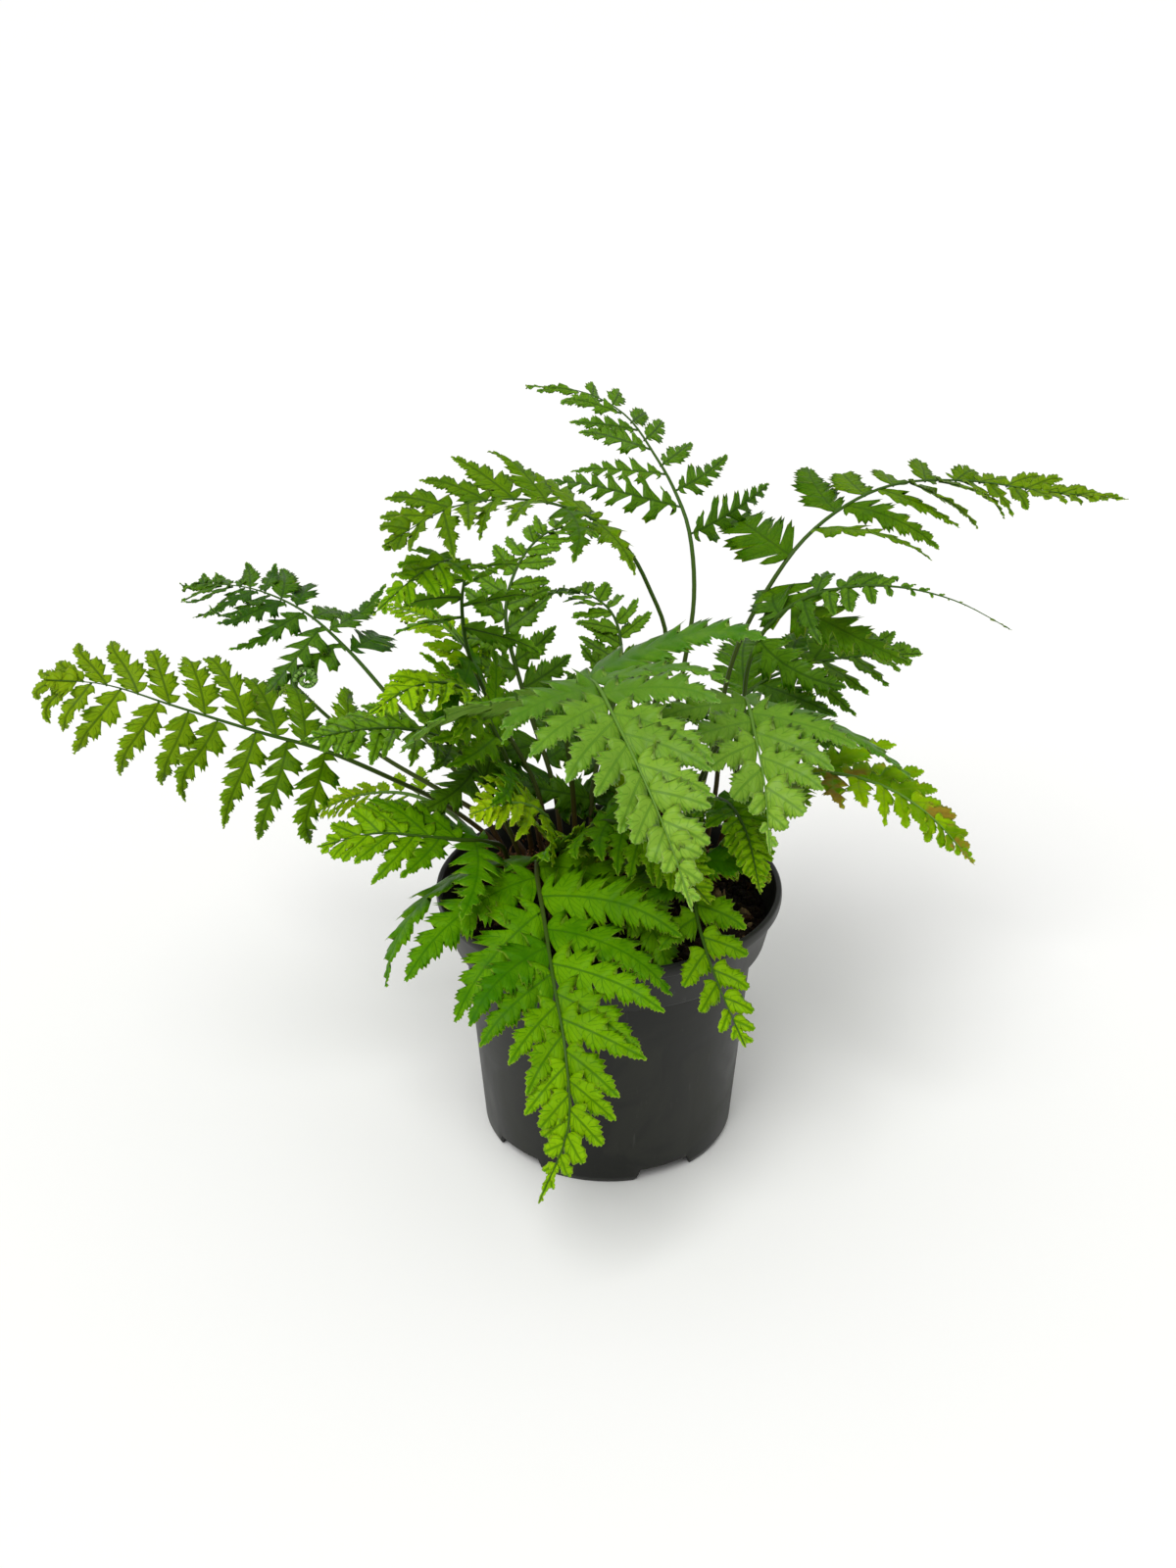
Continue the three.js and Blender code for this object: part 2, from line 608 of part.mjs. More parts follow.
function potGeometry() {
  const outline = [
    [0, 0],
    [DISC_RADIUS, 0],
    [DISC_RADIUS + DISC_DRAFT, CHANNEL_Z],
    [FOOT_RADIUS - FOOT_RING_TOP, CHANNEL_Z],
    [FOOT_RADIUS - FOOT_RING_BOTTOM, 0],
    [FOOT_RADIUS - FOOT_CHAMFER, 0],
    [FOOT_RADIUS, FOOT_CHAMFER_Z],
    [BODY_TOP_RADIUS, COLLAR_BOTTOM_Z - LEDGE_FALL],
    [COLLAR_BOTTOM_RADIUS, COLLAR_BOTTOM_Z],
    [collarTopRadius, collarTopZ],
    [RIM_RADIUS - LIP_FLANK_BOTTOM, collarTopZ + LIP_FLANK_BOTTOM],
    [RIM_RADIUS, collarTopZ + LIP_FLANK_TOP],
    [RIM_RADIUS - LIP_ROUNDING, POT_HEIGHT],
    [RIM_RADIUS - LIP_THICKNESS, POT_HEIGHT],
    [collarTopRadius - WALL, collarTopZ],
    [collarRadius(ledgeZ) - WALL, ledgeZ],
    [BODY_TOP_RADIUS - WALL, ledgeZ - LEDGE_FALL],
    [bodyRadius(channelFloorZ) - WALL, channelFloorZ],
    [DISC_RADIUS - WALL + DISC_DRAFT, channelFloorZ],
    [DISC_RADIUS - WALL, WALL],
    [0, WALL],
  ];
  const cutters = [];
  for (let i = 0; i < NOTCHES; i += 1) {
    const angle = radians(FIRST_NOTCH_DEG + i * 360 / NOTCHES);
    const notch = new THREE.Shape([
      new THREE.Vector2(-NOTCH_WIDTH / 2 - NOTCH_SLANT, -1),
      new THREE.Vector2(NOTCH_WIDTH / 2 + NOTCH_SLANT, -1),
      new THREE.Vector2(NOTCH_WIDTH / 2, NOTCH_HEIGHT),
      new THREE.Vector2(-NOTCH_WIDTH / 2, NOTCH_HEIGHT),
    ]);
    const cutter = new THREE.ExtrudeGeometry(notch, { depth: CUT_LENGTH, bevelEnabled: false });
    cutter.rotateX(Math.PI / 2);
    cutter.translate(0, NOTCH_REACH - FOOT_RADIUS, 0);
    cutter.rotateZ(angle + Math.PI / 2);
    cutters.push(toManifold(cutter));
    const drain = new THREE.CylinderGeometry(DRAIN_RADIUS, DRAIN_RADIUS, CUT_LENGTH, DRAIN_SIDES);
    drain.rotateX(Math.PI / 2);
    const drainRing = (DISC_RADIUS + FOOT_RADIUS - WALL) / 2;
    drain.translate(drainRing * Math.cos(angle), drainRing * Math.sin(angle), CHANNEL_Z);
    cutters.push(toManifold(drain));
  }
  return toGeometry(subtractAll(toManifold(turned(outline, SECTORS)), cutters));
}

// The height of the soil's surface: a low crown with lumps.
function soilHeight(x, y, outer) {
  const share = Math.min(Math.hypot(x, y) / outer, 1);
  const wave = (distance, length) => Math.sin(2 * Math.PI * distance / length + 1);
  const lump = wave(x, SHORT_WAVE) * wave(y, SHORT_WAVE) + wave(x - y, LONG_WAVE);
  return SOIL_Z + SOIL_CROWN * (1 - share ** 2) + SOIL_LUMP * lump * (1 - share ** 4);
}

function soilGeometry(cutters) {
  const outer = collarRadius(SOIL_Z) - WALL - CLEARANCE;
  const outline = [
    [0, WALL + CLEARANCE],
    [DISC_RADIUS - WALL - CLEARANCE, WALL + CLEARANCE],
    [DISC_RADIUS - WALL - CLEARANCE, channelFloorZ + CLEARANCE],
    [bodyRadius(channelFloorZ) - WALL - CLEARANCE, channelFloorZ + CLEARANCE],
    [BODY_TOP_RADIUS - WALL - CLEARANCE, ledgeZ - LEDGE_FALL],
    [BODY_TOP_RADIUS - WALL - CLEARANCE, ledgeZ + CLEARANCE],
    [collarRadius(ledgeZ) - WALL - CLEARANCE, ledgeZ + CLEARANCE],
  ];
  for (let i = 0; i <= SOIL_RINGS; i += 1) {
    outline.push([outer * (1 - i / SOIL_RINGS), SOIL_Z]);
  }
  const geometry = turned(outline, SECTORS);
  const place = geometry.attributes.position;
  for (let i = 0; i < place.count; i += 1) {
    if (place.getZ(i) > ledgeZ + 2 * CLEARANCE) {
      place.setZ(i, soilHeight(place.getX(i), place.getY(i), outer));
    }
  }
  return toGeometry(subtractAll(toManifold(geometry), cutters));
}

// The creeping stem that the fronds spring from: knobbly, half sunk in the soil, and round at its ends. Its
// growth widens it all over, for the room that it takes in the soil.
function rhizomeGeometry(growth) {
  const curve = new THREE.CatmullRomCurve3(
    RHIZOME_RUN.map(([x, y]) => new THREE.Vector3(x, y, SOIL_Z + RHIZOME_RISE)), false, "centripetal",
  );
  const skin = new Skin();
  const rings = [];
  for (let i = 1; i < RHIZOME_STEPS; i += 1) {
    const u = i / RHIZOME_STEPS;
    const along = curve.getTangentAt(u);
    const right = along.clone().cross(UP).normalize();
    const round = Math.sqrt(Math.min(1, Math.sin(Math.PI * u) * RHIZOME_BLUNTNESS));
    const ring = [];
    for (let k = 0; k < RHIZOME_SIDES; k += 1) {
      const turn = k / RHIZOME_SIDES * 2 * Math.PI;
      const knob = RHIZOME_KNOB * Math.sin(2 * i + 2 * k);
      const radius = (RHIZOME_RADIUS + knob) * round + growth;
      ring.push(skin.vertex(curve.getPointAt(u)
        .addScaledVector(right, radius * Math.cos(turn))
        .addScaledVector(UP, radius * Math.sin(turn))));
    }
    rings.push(ring);
  }
  const start = skin.vertex(curve.getPointAt(0).addScaledVector(curve.getTangentAt(0), -growth));
  const end = skin.vertex(curve.getPointAt(1).addScaledVector(curve.getTangentAt(1), growth));
  for (let k = 0; k < RHIZOME_SIDES; k += 1) {
    const next = (k + 1) % RHIZOME_SIDES;
    skin.triangle(start, rings[0][k], rings[0][next]);
    skin.triangle(end, rings.at(-1)[next], rings.at(-1)[k]);
    for (let i = 1; i < rings.length; i += 1) {
      skin.quad(rings[i - 1][k], rings[i][k], rings[i][next], rings[i - 1][next]);
    }
  }
  return skin.geometry();
}

function finish(color, roughness) {
  return new THREE.MeshStandardMaterial({ color, roughness, metalness: 0 });
}

const plant = new THREE.Group();
plant.name = "potted_leatherleaf_fern";

function place(name, geometry, material) {
  geometry.computeVertexNormals();
  const mesh = new THREE.Mesh(geometry, material);
  mesh.name = name;
  plant.add(mesh);
}

const sockets = [...FRONDS, CROZIER].map(socket);
const rhizomeRoom = toManifold(rhizomeGeometry(CLEARANCE));
place("pot", potGeometry(), finish("#2b2b2a", 0.5));
place("soil", soilGeometry([rhizomeRoom, ...sockets]), finish("#1f140d", 0.95));
place("rhizome", toGeometry(subtractAll(toManifold(rhizomeGeometry(0)), sockets)), finish("#4a3420", 0.9));
for (const frond of FRONDS) {
  place(frond.name, frondGeometry(frond), finish(GREENS[frond.green], 0.55));
}
place("frond_coiled", crozierGeometry(CROZIER), finish(GREENS.light, 0.5));

export default plant;
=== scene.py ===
"""The looks of a leatherleaf fern in its nursery pot.

Every frond, the creeping rhizome, the growing medium and the pot are built here as fine meshes, each in the
place of the plain solid that it stands for. Sizes are in millimetres, and a mesh turns them into metres.
"""
import logging
import math
from dataclasses import dataclass
from enum import Enum
from functools import partial
from itertools import combinations

import bpy
import numpy as np
from bpy.types import Material, Node, NodeTree, Object
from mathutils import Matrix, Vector, noise
from numpy.random import Generator


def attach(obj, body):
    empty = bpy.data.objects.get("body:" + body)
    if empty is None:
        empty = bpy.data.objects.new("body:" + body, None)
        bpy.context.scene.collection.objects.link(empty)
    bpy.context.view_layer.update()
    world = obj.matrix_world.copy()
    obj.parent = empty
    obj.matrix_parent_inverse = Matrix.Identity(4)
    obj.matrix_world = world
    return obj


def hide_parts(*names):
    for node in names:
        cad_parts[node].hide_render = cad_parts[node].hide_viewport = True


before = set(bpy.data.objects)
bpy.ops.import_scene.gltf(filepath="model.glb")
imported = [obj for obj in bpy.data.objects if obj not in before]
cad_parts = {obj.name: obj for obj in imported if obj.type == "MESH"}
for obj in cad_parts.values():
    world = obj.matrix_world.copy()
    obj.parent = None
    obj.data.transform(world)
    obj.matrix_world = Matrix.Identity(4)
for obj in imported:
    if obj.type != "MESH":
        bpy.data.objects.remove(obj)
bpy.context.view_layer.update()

LOG = logging.getLogger("fern")
MM = 0.001
BODY = "root"
UP = np.array([0.0, 0.0, 1.0])

Pair = tuple[float, float]

# A number, or a grid of them.
Values = float | np.ndarray

# The numbers of the materials on a frond.
LEAF, STALK, SCALE = 0, 1, 2

# A papery scale's widest place and its bow as shares of its length, its half thickness, and its tone. The
# tilt gives a scale that points straight up a sideways too.
SCALE_WIDEST, SCALE_BOW, SCALE_HALF_THICK, SCALE_TONE, SCALE_TILT = 0.4, 0.12, 0.12, 0.5, 1e-3

# The sockets of a colour Mix node: the share of the second colour, the two colours, and the mix.
SHARE, FIRST, SECOND, MIXED = 0, 6, 7, 2


def unit(vectors: np.ndarray) -> np.ndarray:
    """The directions of vectors, each one long."""
    return vectors / np.linalg.norm(vectors, axis=-1, keepdims=True)


def dot(a: np.ndarray, b: np.ndarray) -> np.ndarray:
    """The dot products of two lists of vectors, as a column."""
    return np.sum(a * b, axis=-1, keepdims=True)


def smooth(value: Values, low: float, high: Values) -> Values:
    """A soft step from 0 at low to 1 at high."""
    t = np.clip((value - low) / (high - low), 0.0, 1.0)
    return t * t * (3.0 - 2.0 * t)


def lerp(a: Values, b: Values, t: Values) -> Values:
    """The value that lies at share t between a and b."""
    return a + (b - a) * t


def round_angles(count: int) -> np.ndarray:
    """The angles of points that stand evenly round a circle, in radians."""
    return np.linspace(0.0, 2 * np.pi, count, endpoint=False)


def turned(source: np.ndarray, target: np.ndarray, angle: Values) -> np.ndarray:
    """Turns directions by an angle towards others that are square to them.

    Args:
        source: The directions to turn.
        target: The directions to turn them towards.
        angle: The angle in radians, one or a column of them.

    Returns:
        The turned directions.
    """
    return source * np.cos(angle) + target * np.sin(angle)


def linear(colour: str) -> tuple[float, float, float, float]:
    """Turns an sRGB hex colour into the linear colour of a shader socket.

    Args:
        colour: The colour as "#rrggbb".

    Returns:
        Red, green, blue and a full alpha.
    """
    channels = [int(colour[i:i + 2], 16) / 255.0 for i in (1, 3, 5)]
    return (*[c / 12.92 if c <= 0.04045 else ((c + 0.055) / 1.055) ** 2.4 for c in channels], 1.0)


def add_node(
    tree: NodeTree, kind: str, values: dict | None = None, links: dict | None = None, **settings: str,
) -> Node:
    """Adds one shader node.

    Args:
        tree: The node tree of a material or a world.
        kind: The shader node's type, as in Blender's name for it.
        values: Values of its sockets, by the socket's name or number.
        links: What feeds its sockets: a socket of another node, or a node for its first output.
        **settings: The node's own properties.

    Returns:
        The new node.
    """
    node = tree.nodes.new(f"ShaderNode{kind}")
    for name, value in settings.items():
        setattr(node, name, value)
    for key, value in (values or {}).items():
        node.inputs[key].default_value = value
    for key, source in (links or {}).items():
        tree.links.new(source.outputs[0] if isinstance(source, Node) else source, node.inputs[key])
    return node


def start_material(name: str) -> tuple[Material, partial]:
    """Makes a material.

    Args:
        name: What the real material is.

    Returns:
        The material, and the function that adds nodes to its empty tree.
    """
    material = bpy.data.materials.new(name)
    material.use_nodes = True
    material.node_tree.nodes.clear()
    return material, partial(add_node, material.node_tree)


class Skin:
    """Points, faces and marks that become one mesh. A mark is a vector that a material reads at a point."""

    def __init__(self, *marks: str) -> None:
        """Starts an empty skin.

        Args:
            *marks: The names of its marks.
        """
        self.points: list[np.ndarray] = []
        self.faces: list[tuple[np.ndarray, int, float]] = []
        self.marks: dict[str, list[np.ndarray]] = {name: [] for name in marks}
        self.count = 0

    def add(self, points: np.ndarray, **marks: np.ndarray) -> np.ndarray:
        """Adds points.

        Args:
            points: Places, in any grid of vectors.
            **marks: The marks of these points, in the same grid or as one vector for all.

        Returns:
            The numbers of the new points, in the same grid.
        """
        numbers = self.count + np.arange(points[..., 0].size).reshape(points.shape[:-1])
        self.points.append(points.reshape(-1, 3))
        for name, rows in self.marks.items():
            rows.append(np.broadcast_to(marks.get(name, np.zeros(3)), points.shape).reshape(-1, 3))
        self.count += numbers.size
        return numbers

    def face(self, corners: np.ndarray, finish: int = 0, under: float = 0.0, flip: bool = False) -> None:
        """Adds faces that all have the same number of corners.

        Args:
            corners: Point numbers, one row for each face.
            finish: The number of their material on the piece.
            under: 1 where a leaf shows its underside.
            flip: True where the corners run clockwise as seen from outside.
        """
        corners = np.asarray(corners)
        self.faces.append((corners[:, ::-1] if flip else corners, finish, under))

    def grid(self, numbers: np.ndarray, **options: float) -> None:
        """Joins a grid of points with four-cornered faces."""
        rows = [numbers[:-1, :-1], numbers[1:, :-1], numbers[1:, 1:], numbers[:-1, 1:]]
        self.face(np.stack([row.ravel() for row in rows], axis=1), **options)

    def band(self, numbers: np.ndarray, **options: float) -> None:
        """Joins rings of points all round with four-cornered faces."""
        self.grid(np.concatenate([numbers, numbers[:, :1]], axis=1), **options)

    def tube(self, rings: np.ndarray, finish: int = 0, **marks: np.ndarray) -> None:
        """Adds a closed tube.

        Args:
            rings: Places, one row of them for each ring, counter-clockwise as seen from the tube's end.
            finish: The number of its material on the piece.
            **marks: The marks of its points.
        """
        numbers = self.add(rings, **marks)
        self.band(numbers, finish=finish)
        self.face(numbers[:1], finish=finish, flip=True)
        self.face(numbers[-1:], finish=finish)

    def piece(self, name: str, materials: list[Material]) -> Object:
        """Makes the mesh and its object.

        Args:
            name: The piece's name.
            materials: The materials that its faces number.

        Returns:
            The new object, in the scene.
        """
        mesh = bpy.data.meshes.new(name)
        sizes = np.concatenate([np.full(len(corners), corners.shape[1]) for corners, _, _ in self.faces])
        corners = np.concatenate([corners.ravel() for corners, _, _ in self.faces])
        mesh.vertices.add(self.count)
        mesh.vertices.foreach_set("co", (np.concatenate(self.points) * MM).astype(np.float32).ravel())
        mesh.loops.add(len(corners))
        mesh.loops.foreach_set("vertex_index", corners.astype(np.int32))
        mesh.polygons.add(len(sizes))
        mesh.polygons.foreach_set("loop_start", (np.cumsum(sizes) - sizes).astype(np.int32))
        finishes = np.concatenate([np.full(len(rows), finish) for rows, finish, _ in self.faces])
        mesh.polygons.foreach_set("material_index", finishes.astype(np.int32))
        mesh.polygons.foreach_set("use_smooth", np.ones(len(sizes), dtype=bool))
        mesh.update(calc_edges=True)
        for mark, rows in self.marks.items():
            layer = mesh.attributes.new(mark, "FLOAT_VECTOR", "POINT")
            layer.data.foreach_set("vector", np.concatenate(rows).astype(np.float32).ravel())
        unders = np.concatenate([np.full(len(rows), under) for rows, _, under in self.faces])
        mesh.attributes.new("underside", "FLOAT", "FACE").data.foreach_set("value", unders.astype(np.float32))
        for material in materials:
            mesh.materials.append(material)
        piece = bpy.data.objects.new(name, mesh)
        bpy.context.scene.collection.objects.link(piece)
        return piece


def show(piece: Object, slot: str, *nodes: str) -> None:
    """Puts a piece on the plant's body and reports it.

    Args:
        piece: The object.
        slot: The record's material slot; it is not used.
        *nodes: The plain solids that it stands for.
    """
    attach(piece, BODY)
    if nodes:
        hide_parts(*nodes)
    LOG.info("%s: %d faces", piece.name, len(piece.data.polygons))


@dataclass(frozen=True)
class LeafFinish:
    """A fern leaf: living green tissue under a waxy skin.

    The wax gives a soft grey gleam at low angles, and the rim is thin and pale. The veins sink in, and their
    darker colour is partly their own and partly painted shade in the sunk grooves. A range is where a pattern
    goes from nothing to all, and a share is how strong its colour is.
    """

    name: str
    shade: str
    body: str
    tip: str
    vein: str
    rim: str
    underside: str
    blight: str = "#8a6a24"
    roughness: float = 0.46
    gleam: float = 0.06
    through: float = 0.3
    ior: float = 1.42
    mottle_mm: float = 7.0
    grain_mm: float = 0.5
    tone_share: float = 0.55
    tone_range: Pair = (0.35, 1.15)
    tip_range: Pair = (0.45, 1.1)
    tip_share: float = 0.85
    lobe_vein_mm: Pair = (0.06, 0.34)
    rib_vein_mm: Pair = (0.2, 0.6)
    vein_share: float = 0.62
    fork_spacing_mm: float = 1.3
    fork_slant: float = 1.1
    fork_mm: Pair = (0.08, 0.34)
    fork_share: float = 0.42
    rim_mm: Pair = (0.04, 0.42)
    rim_share: float = 0.38
    blight_range: Pair = (0.42, 0.6)
    blight_share: float = 0.85
    underside_share: float = 0.8
    vein_depth: float = 0.5
    relief_mm: float = 0.12
    relief_share: float = 0.35
    gloss_range: Pair = (0.3, 0.7)
    gloss_spread: Pair = (-0.06, 0.1)
    glow: tuple[float, float, float] = (0.5, 1.0, 0.15)
    glow_mm: float = 0.6

    def material(self) -> Material:
        """Makes the material of this leaf.

        The vein mark holds the distances from the lobe's vein, the rib and the rim, in millimetres. The tone
        mark holds a leaflet's own tone, how near the frond's tip it is times the frond's young tint (which on
        the inner fronds also paints the glow of leaves lit from behind), and its blight.

        Returns:
            The new material.
        """
        material, add = start_material(self.name)
        vein = add("Attribute", attribute_name="vein").outputs["Vector"]
        marks = add("SeparateXYZ", links={0: vein})
        from_vein, from_rib, from_rim = marks.outputs
        tone = add("Attribute", attribute_name="tone").outputs["Vector"]
        tones = add("SeparateXYZ", links={0: tone})
        own_tone, tip_and_glow, sickness = tones.outputs
        under = add("Attribute", attribute_name="underside").outputs["Fac"]
        where = add("TexCoord").outputs["Object"]
        mottle, grain = (
            add("TexNoise", {"Scale": 1.0 / (size * MM), "Detail": detail}, {"Vector": where})
            for size, detail in ((self.mottle_mm, 3.0), (self.grain_mm, 2.0))
        )
        mixed = add("Math", {1: self.tone_share}, {0: own_tone, 2: mottle}, operation="MULTIPLY_ADD")
        spread = add(
            "MapRange", {"From Min": self.tone_range[0], "From Max": self.tone_range[1]},
            {0: mixed}, interpolation_type="SMOOTHSTEP",
        )
        tip = add(
            "MapRange",
            {"From Min": self.tip_range[0], "From Max": self.tip_range[1], "To Max": self.tip_share},
            {0: tip_and_glow},
        )
        # The fine veins fork from a lobe's own vein towards its teeth.
        slant = add("Math", {1: -self.fork_slant}, {0: from_vein, 2: from_rib}, operation="MULTIPLY_ADD")
        from_fork = add("Math", {1: self.fork_spacing_mm}, {0: slant}, operation="PINGPONG")
        lobe_vein, rib_vein, fork, edge = (
            add(
                "MapRange", {"From Min": near, "From Max": far, "To Min": 1.0, "To Max": 0.0},
                {0: distance}, interpolation_type="SMOOTHSTEP",
            )
            for distance, (near, far) in (
                (from_vein, self.lobe_vein_mm), (from_rib, self.rib_vein_mm),
                (from_fork, self.fork_mm), (from_rim, self.rim_mm),
            )
        )
        main_veins = add("Math", links={0: lobe_vein, 1: rib_vein}, operation="MAXIMUM")
        drawn, faint, rim, below = (
            add("Math", {1: share}, {0: source}, operation="MULTIPLY")
            for source, share in (
                (main_veins, self.vein_share), (fork, self.fork_share),
                (edge, self.rim_share), (under, self.underside_share),
            )
        )
        veins = add("Math", links={0: drawn, 1: faint}, operation="MAXIMUM")
        spots = add("Math", links={0: mottle, 1: sickness}, operation="MULTIPLY")
        blight = add(
            "MapRange",
            {"From Min": self.blight_range[0], "From Max": self.blight_range[1], "To Max": self.blight_share},
            {0: spots}, interpolation_type="SMOOTHSTEP",
        )
        body = add(
            "Mix", {FIRST: linear(self.shade), SECOND: linear(self.body)},
            {SHARE: spread}, data_type="RGBA",
        )
        # The vein colour, on the main and the fine veins, is partly their own and partly painted shade in
        # their sunk grooves.
        for share, colour in (
            (tip, self.tip), (veins, self.vein), (rim, self.rim), (blight, self.blight),
            (below, self.underside),
        ):
            body = add(
                "Mix", {SECOND: linear(colour)},
                {SHARE: share, FIRST: body.outputs[MIXED]}, data_type="RGBA",
            )
        relief = add("Math", {1: -self.vein_depth}, {0: veins, 2: grain}, operation="MULTIPLY_ADD")
        bump = add(
            "Bump", {"Strength": self.relief_share, "Distance": self.relief_mm * MM}, {"Height": relief},
        )
        low, high = (self.roughness + more for more in self.gloss_spread)
        gloss = add(
            "MapRange",
            {"From Min": self.gloss_range[0], "From Max": self.gloss_range[1], "To Min": low, "To Max": high},
            {0: mottle},
        )
        surface = add(
            "BsdfPrincipled",
            {
                "Subsurface Weight": self.through,
                "Subsurface Radius": self.glow,
                "Subsurface Scale": self.glow_mm * MM,
                "IOR": self.ior,
                "Specular IOR Level": self.gleam,
            },
            {"Base Color": body.outputs[MIXED], "Roughness": gloss, "Normal": bump},
        )
        add("OutputMaterial", links={0: surface})
        return material


@dataclass(frozen=True)
class StalkFinish:
    """A fern stalk: wiry green tissue, ridged along its length.

    It runs from brown at the foot to olive and to leaf green, with a dull wax and fine streaks. On a light or
    young frond the green is pale.
    """

    name: str = "wiry_stalk"
    foot: str = "#4c3418"
    middle: str = "#3b4a16"
    top: str = "#345a0e"
    pale: str = "#628c30"
    roughness: float = 0.5
    gleam: float = 0.25
    ior: float = 1.42
    middle_range: Pair = (0.02, 0.2)
    top_range: Pair = (0.15, 0.6)
    streak_mm: float = 0.6
    streak_range: Pair = (0.35, 0.7)
    streak_share: float = 0.22
    relief_mm: float = 0.1
    relief_share: float = 0.3

    def material(self) -> Material:
        """Makes the material of the stalks.

        The tone mark's x is how pale it is, and its y is the share of its length.

        Returns:
            The new material.
        """
        material, add = start_material(self.name)
        tone = add("Attribute", attribute_name="tone").outputs["Vector"]
        tones = add("SeparateXYZ", links={0: tone})
        where = add("TexCoord").outputs["Object"]
        streaks = add("TexNoise", {"Scale": 1.0 / (self.streak_mm * MM), "Detail": 2.0}, {"Vector": where})
        middle, top = (
            add(
                "MapRange", {"From Min": low, "From Max": high}, {0: tones.outputs[1]},
                interpolation_type="SMOOTHSTEP",
            )
            for low, high in (self.middle_range, self.top_range)
        )
        pale = add("Math", links={0: top, 1: tones.outputs[0]}, operation="MULTIPLY")
        streak = add(
            "MapRange",
            {"From Min": self.streak_range[0], "From Max": self.streak_range[1], "To Max": self.streak_share},
            {0: streaks},
        )
        body = add(
            "Mix", {FIRST: linear(self.foot), SECOND: linear(self.middle)},
            {SHARE: middle}, data_type="RGBA",
        )
        for share, colour in ((top, self.top), (pale, self.pale), (streak, self.foot)):
            body = add(
                "Mix", {SECOND: linear(colour)},
                {SHARE: share, FIRST: body.outputs[MIXED]}, data_type="RGBA",
            )
        bump = add(
            "Bump", {"Strength": self.relief_share, "Distance": self.relief_mm * MM}, {"Height": streaks},
        )
        surface = add(
            "BsdfPrincipled",
            {"Roughness": self.roughness, "IOR": self.ior, "Specular IOR Level": self.gleam},
            {"Base Color": body.outputs[MIXED], "Normal": bump},
        )
        add("OutputMaterial", links={0: surface})
        return material


class Green(Enum):
    """The ages of leaf, from the palest to the oldest, and the olive of a frond against the light."""

    YOUNG = LeafFinish(
        "leaf_young", "#588200", "#86ac00", "#b0cc10", "#6e9200", "#c4d650", "#9cba20", through=0.4,
    )
    LIGHT = LeafFinish(
        "leaf_light", "#366a06", "#5e8a14", "#94b83c", "#457612", "#a4c870", "#7ca040", roughness=0.42,
        gleam=0.2,
    )
    BRIGHT = LeafFinish(
        "leaf_bright", "#366c00", "#609202", "#90b806", "#285e00", "#a2c23c", "#66921c",
    )
    OLIVE = LeafFinish(
        "leaf_olive", "#3c6400", "#5e8202", "#84a00a", "#2c4c00", "#a4bc4c", "#6c8c20", gleam=0.08,
    )
    DEEP = LeafFinish(
        "leaf_deep", "#285000", "#4a7204", "#669210", "#163a00", "#7ca040", "#507820", roughness=0.4,
        gleam=0.16,
    )


@dataclass(frozen=True)
class FrondPlan:
    """Where one frond grows and how it is cut. Its places and measures are those of the plain solid.

    Attributes:
        name: The solid's node.
        green: The finish of its leaf.
        root: Where its stalk leaves the rhizome.
        facing: The direction that its blade faces.
        stalk: The share of the midrib that the solid leaves bare.
        pairs: How many pairs of pinnae the solid has.
        reach: The length of the solid's longest pinna.
        lift: The angle by which the pinnae rise from the midrib.
        droop: The angle by which they bend down in each reach of their length.
        route: The points that the midrib runs through.
        taper: How fast the pinnae shorten towards the tip, as a power.
        fan: The angles at which the first and the last pinnae leave the midrib.
        louvre: The angle by which a pinna is turned about its own rib.
        uncut: The share of the solid's blade whose lobes aren't cut apart.
        lace: How deep and round the lobes are cut, from 0 to 1.
        fuller: The pinnae's length, with the solid's as 1.
        clothed: How much further down the midrib leaflets grow here, as a share of it.
        curl: The angle by which a pinna's end bends down.
        recurve: The angle by which it hooks back towards the frond's foot.
        unruly: How much the pinnae differ from one another.
        blight: How much of the leaf is brown.
        spacing: The room between the pinnae, with the usual one as 1.
        breadth: The pinnae's width, with the usual one as 1.
        base_gain: How much longer the lowest pinnae are than the taper makes them.
        young_tint_and_glow: How much of the tip's young colour it has. Above 1, on the inner and back fronds,
            it is also painted light: the glow of leaves lit through from behind.
    """

    name: str
    green: Green
    root: Pair
    facing: tuple[float, float, float]
    stalk: float
    pairs: int
    reach: float
    lift: float
    droop: float
    route: tuple[tuple[float, float, float], ...]
    taper: float = 0.85
    fan: Pair = (72.0, 50.0)
    louvre: float = -16.0
    uncut: float = 0.36
    lace: float = 0.35
    fuller: float = 1.08
    clothed: float = 0.0
    curl: float = 18.0
    recurve: float = 0.0
    unruly: float = 1.6
    blight: float = 0.0
    spacing: float = 1.0
    breadth: float = 1.0
    base_gain: float = 0.12
    young_tint_and_glow: float = 1.0


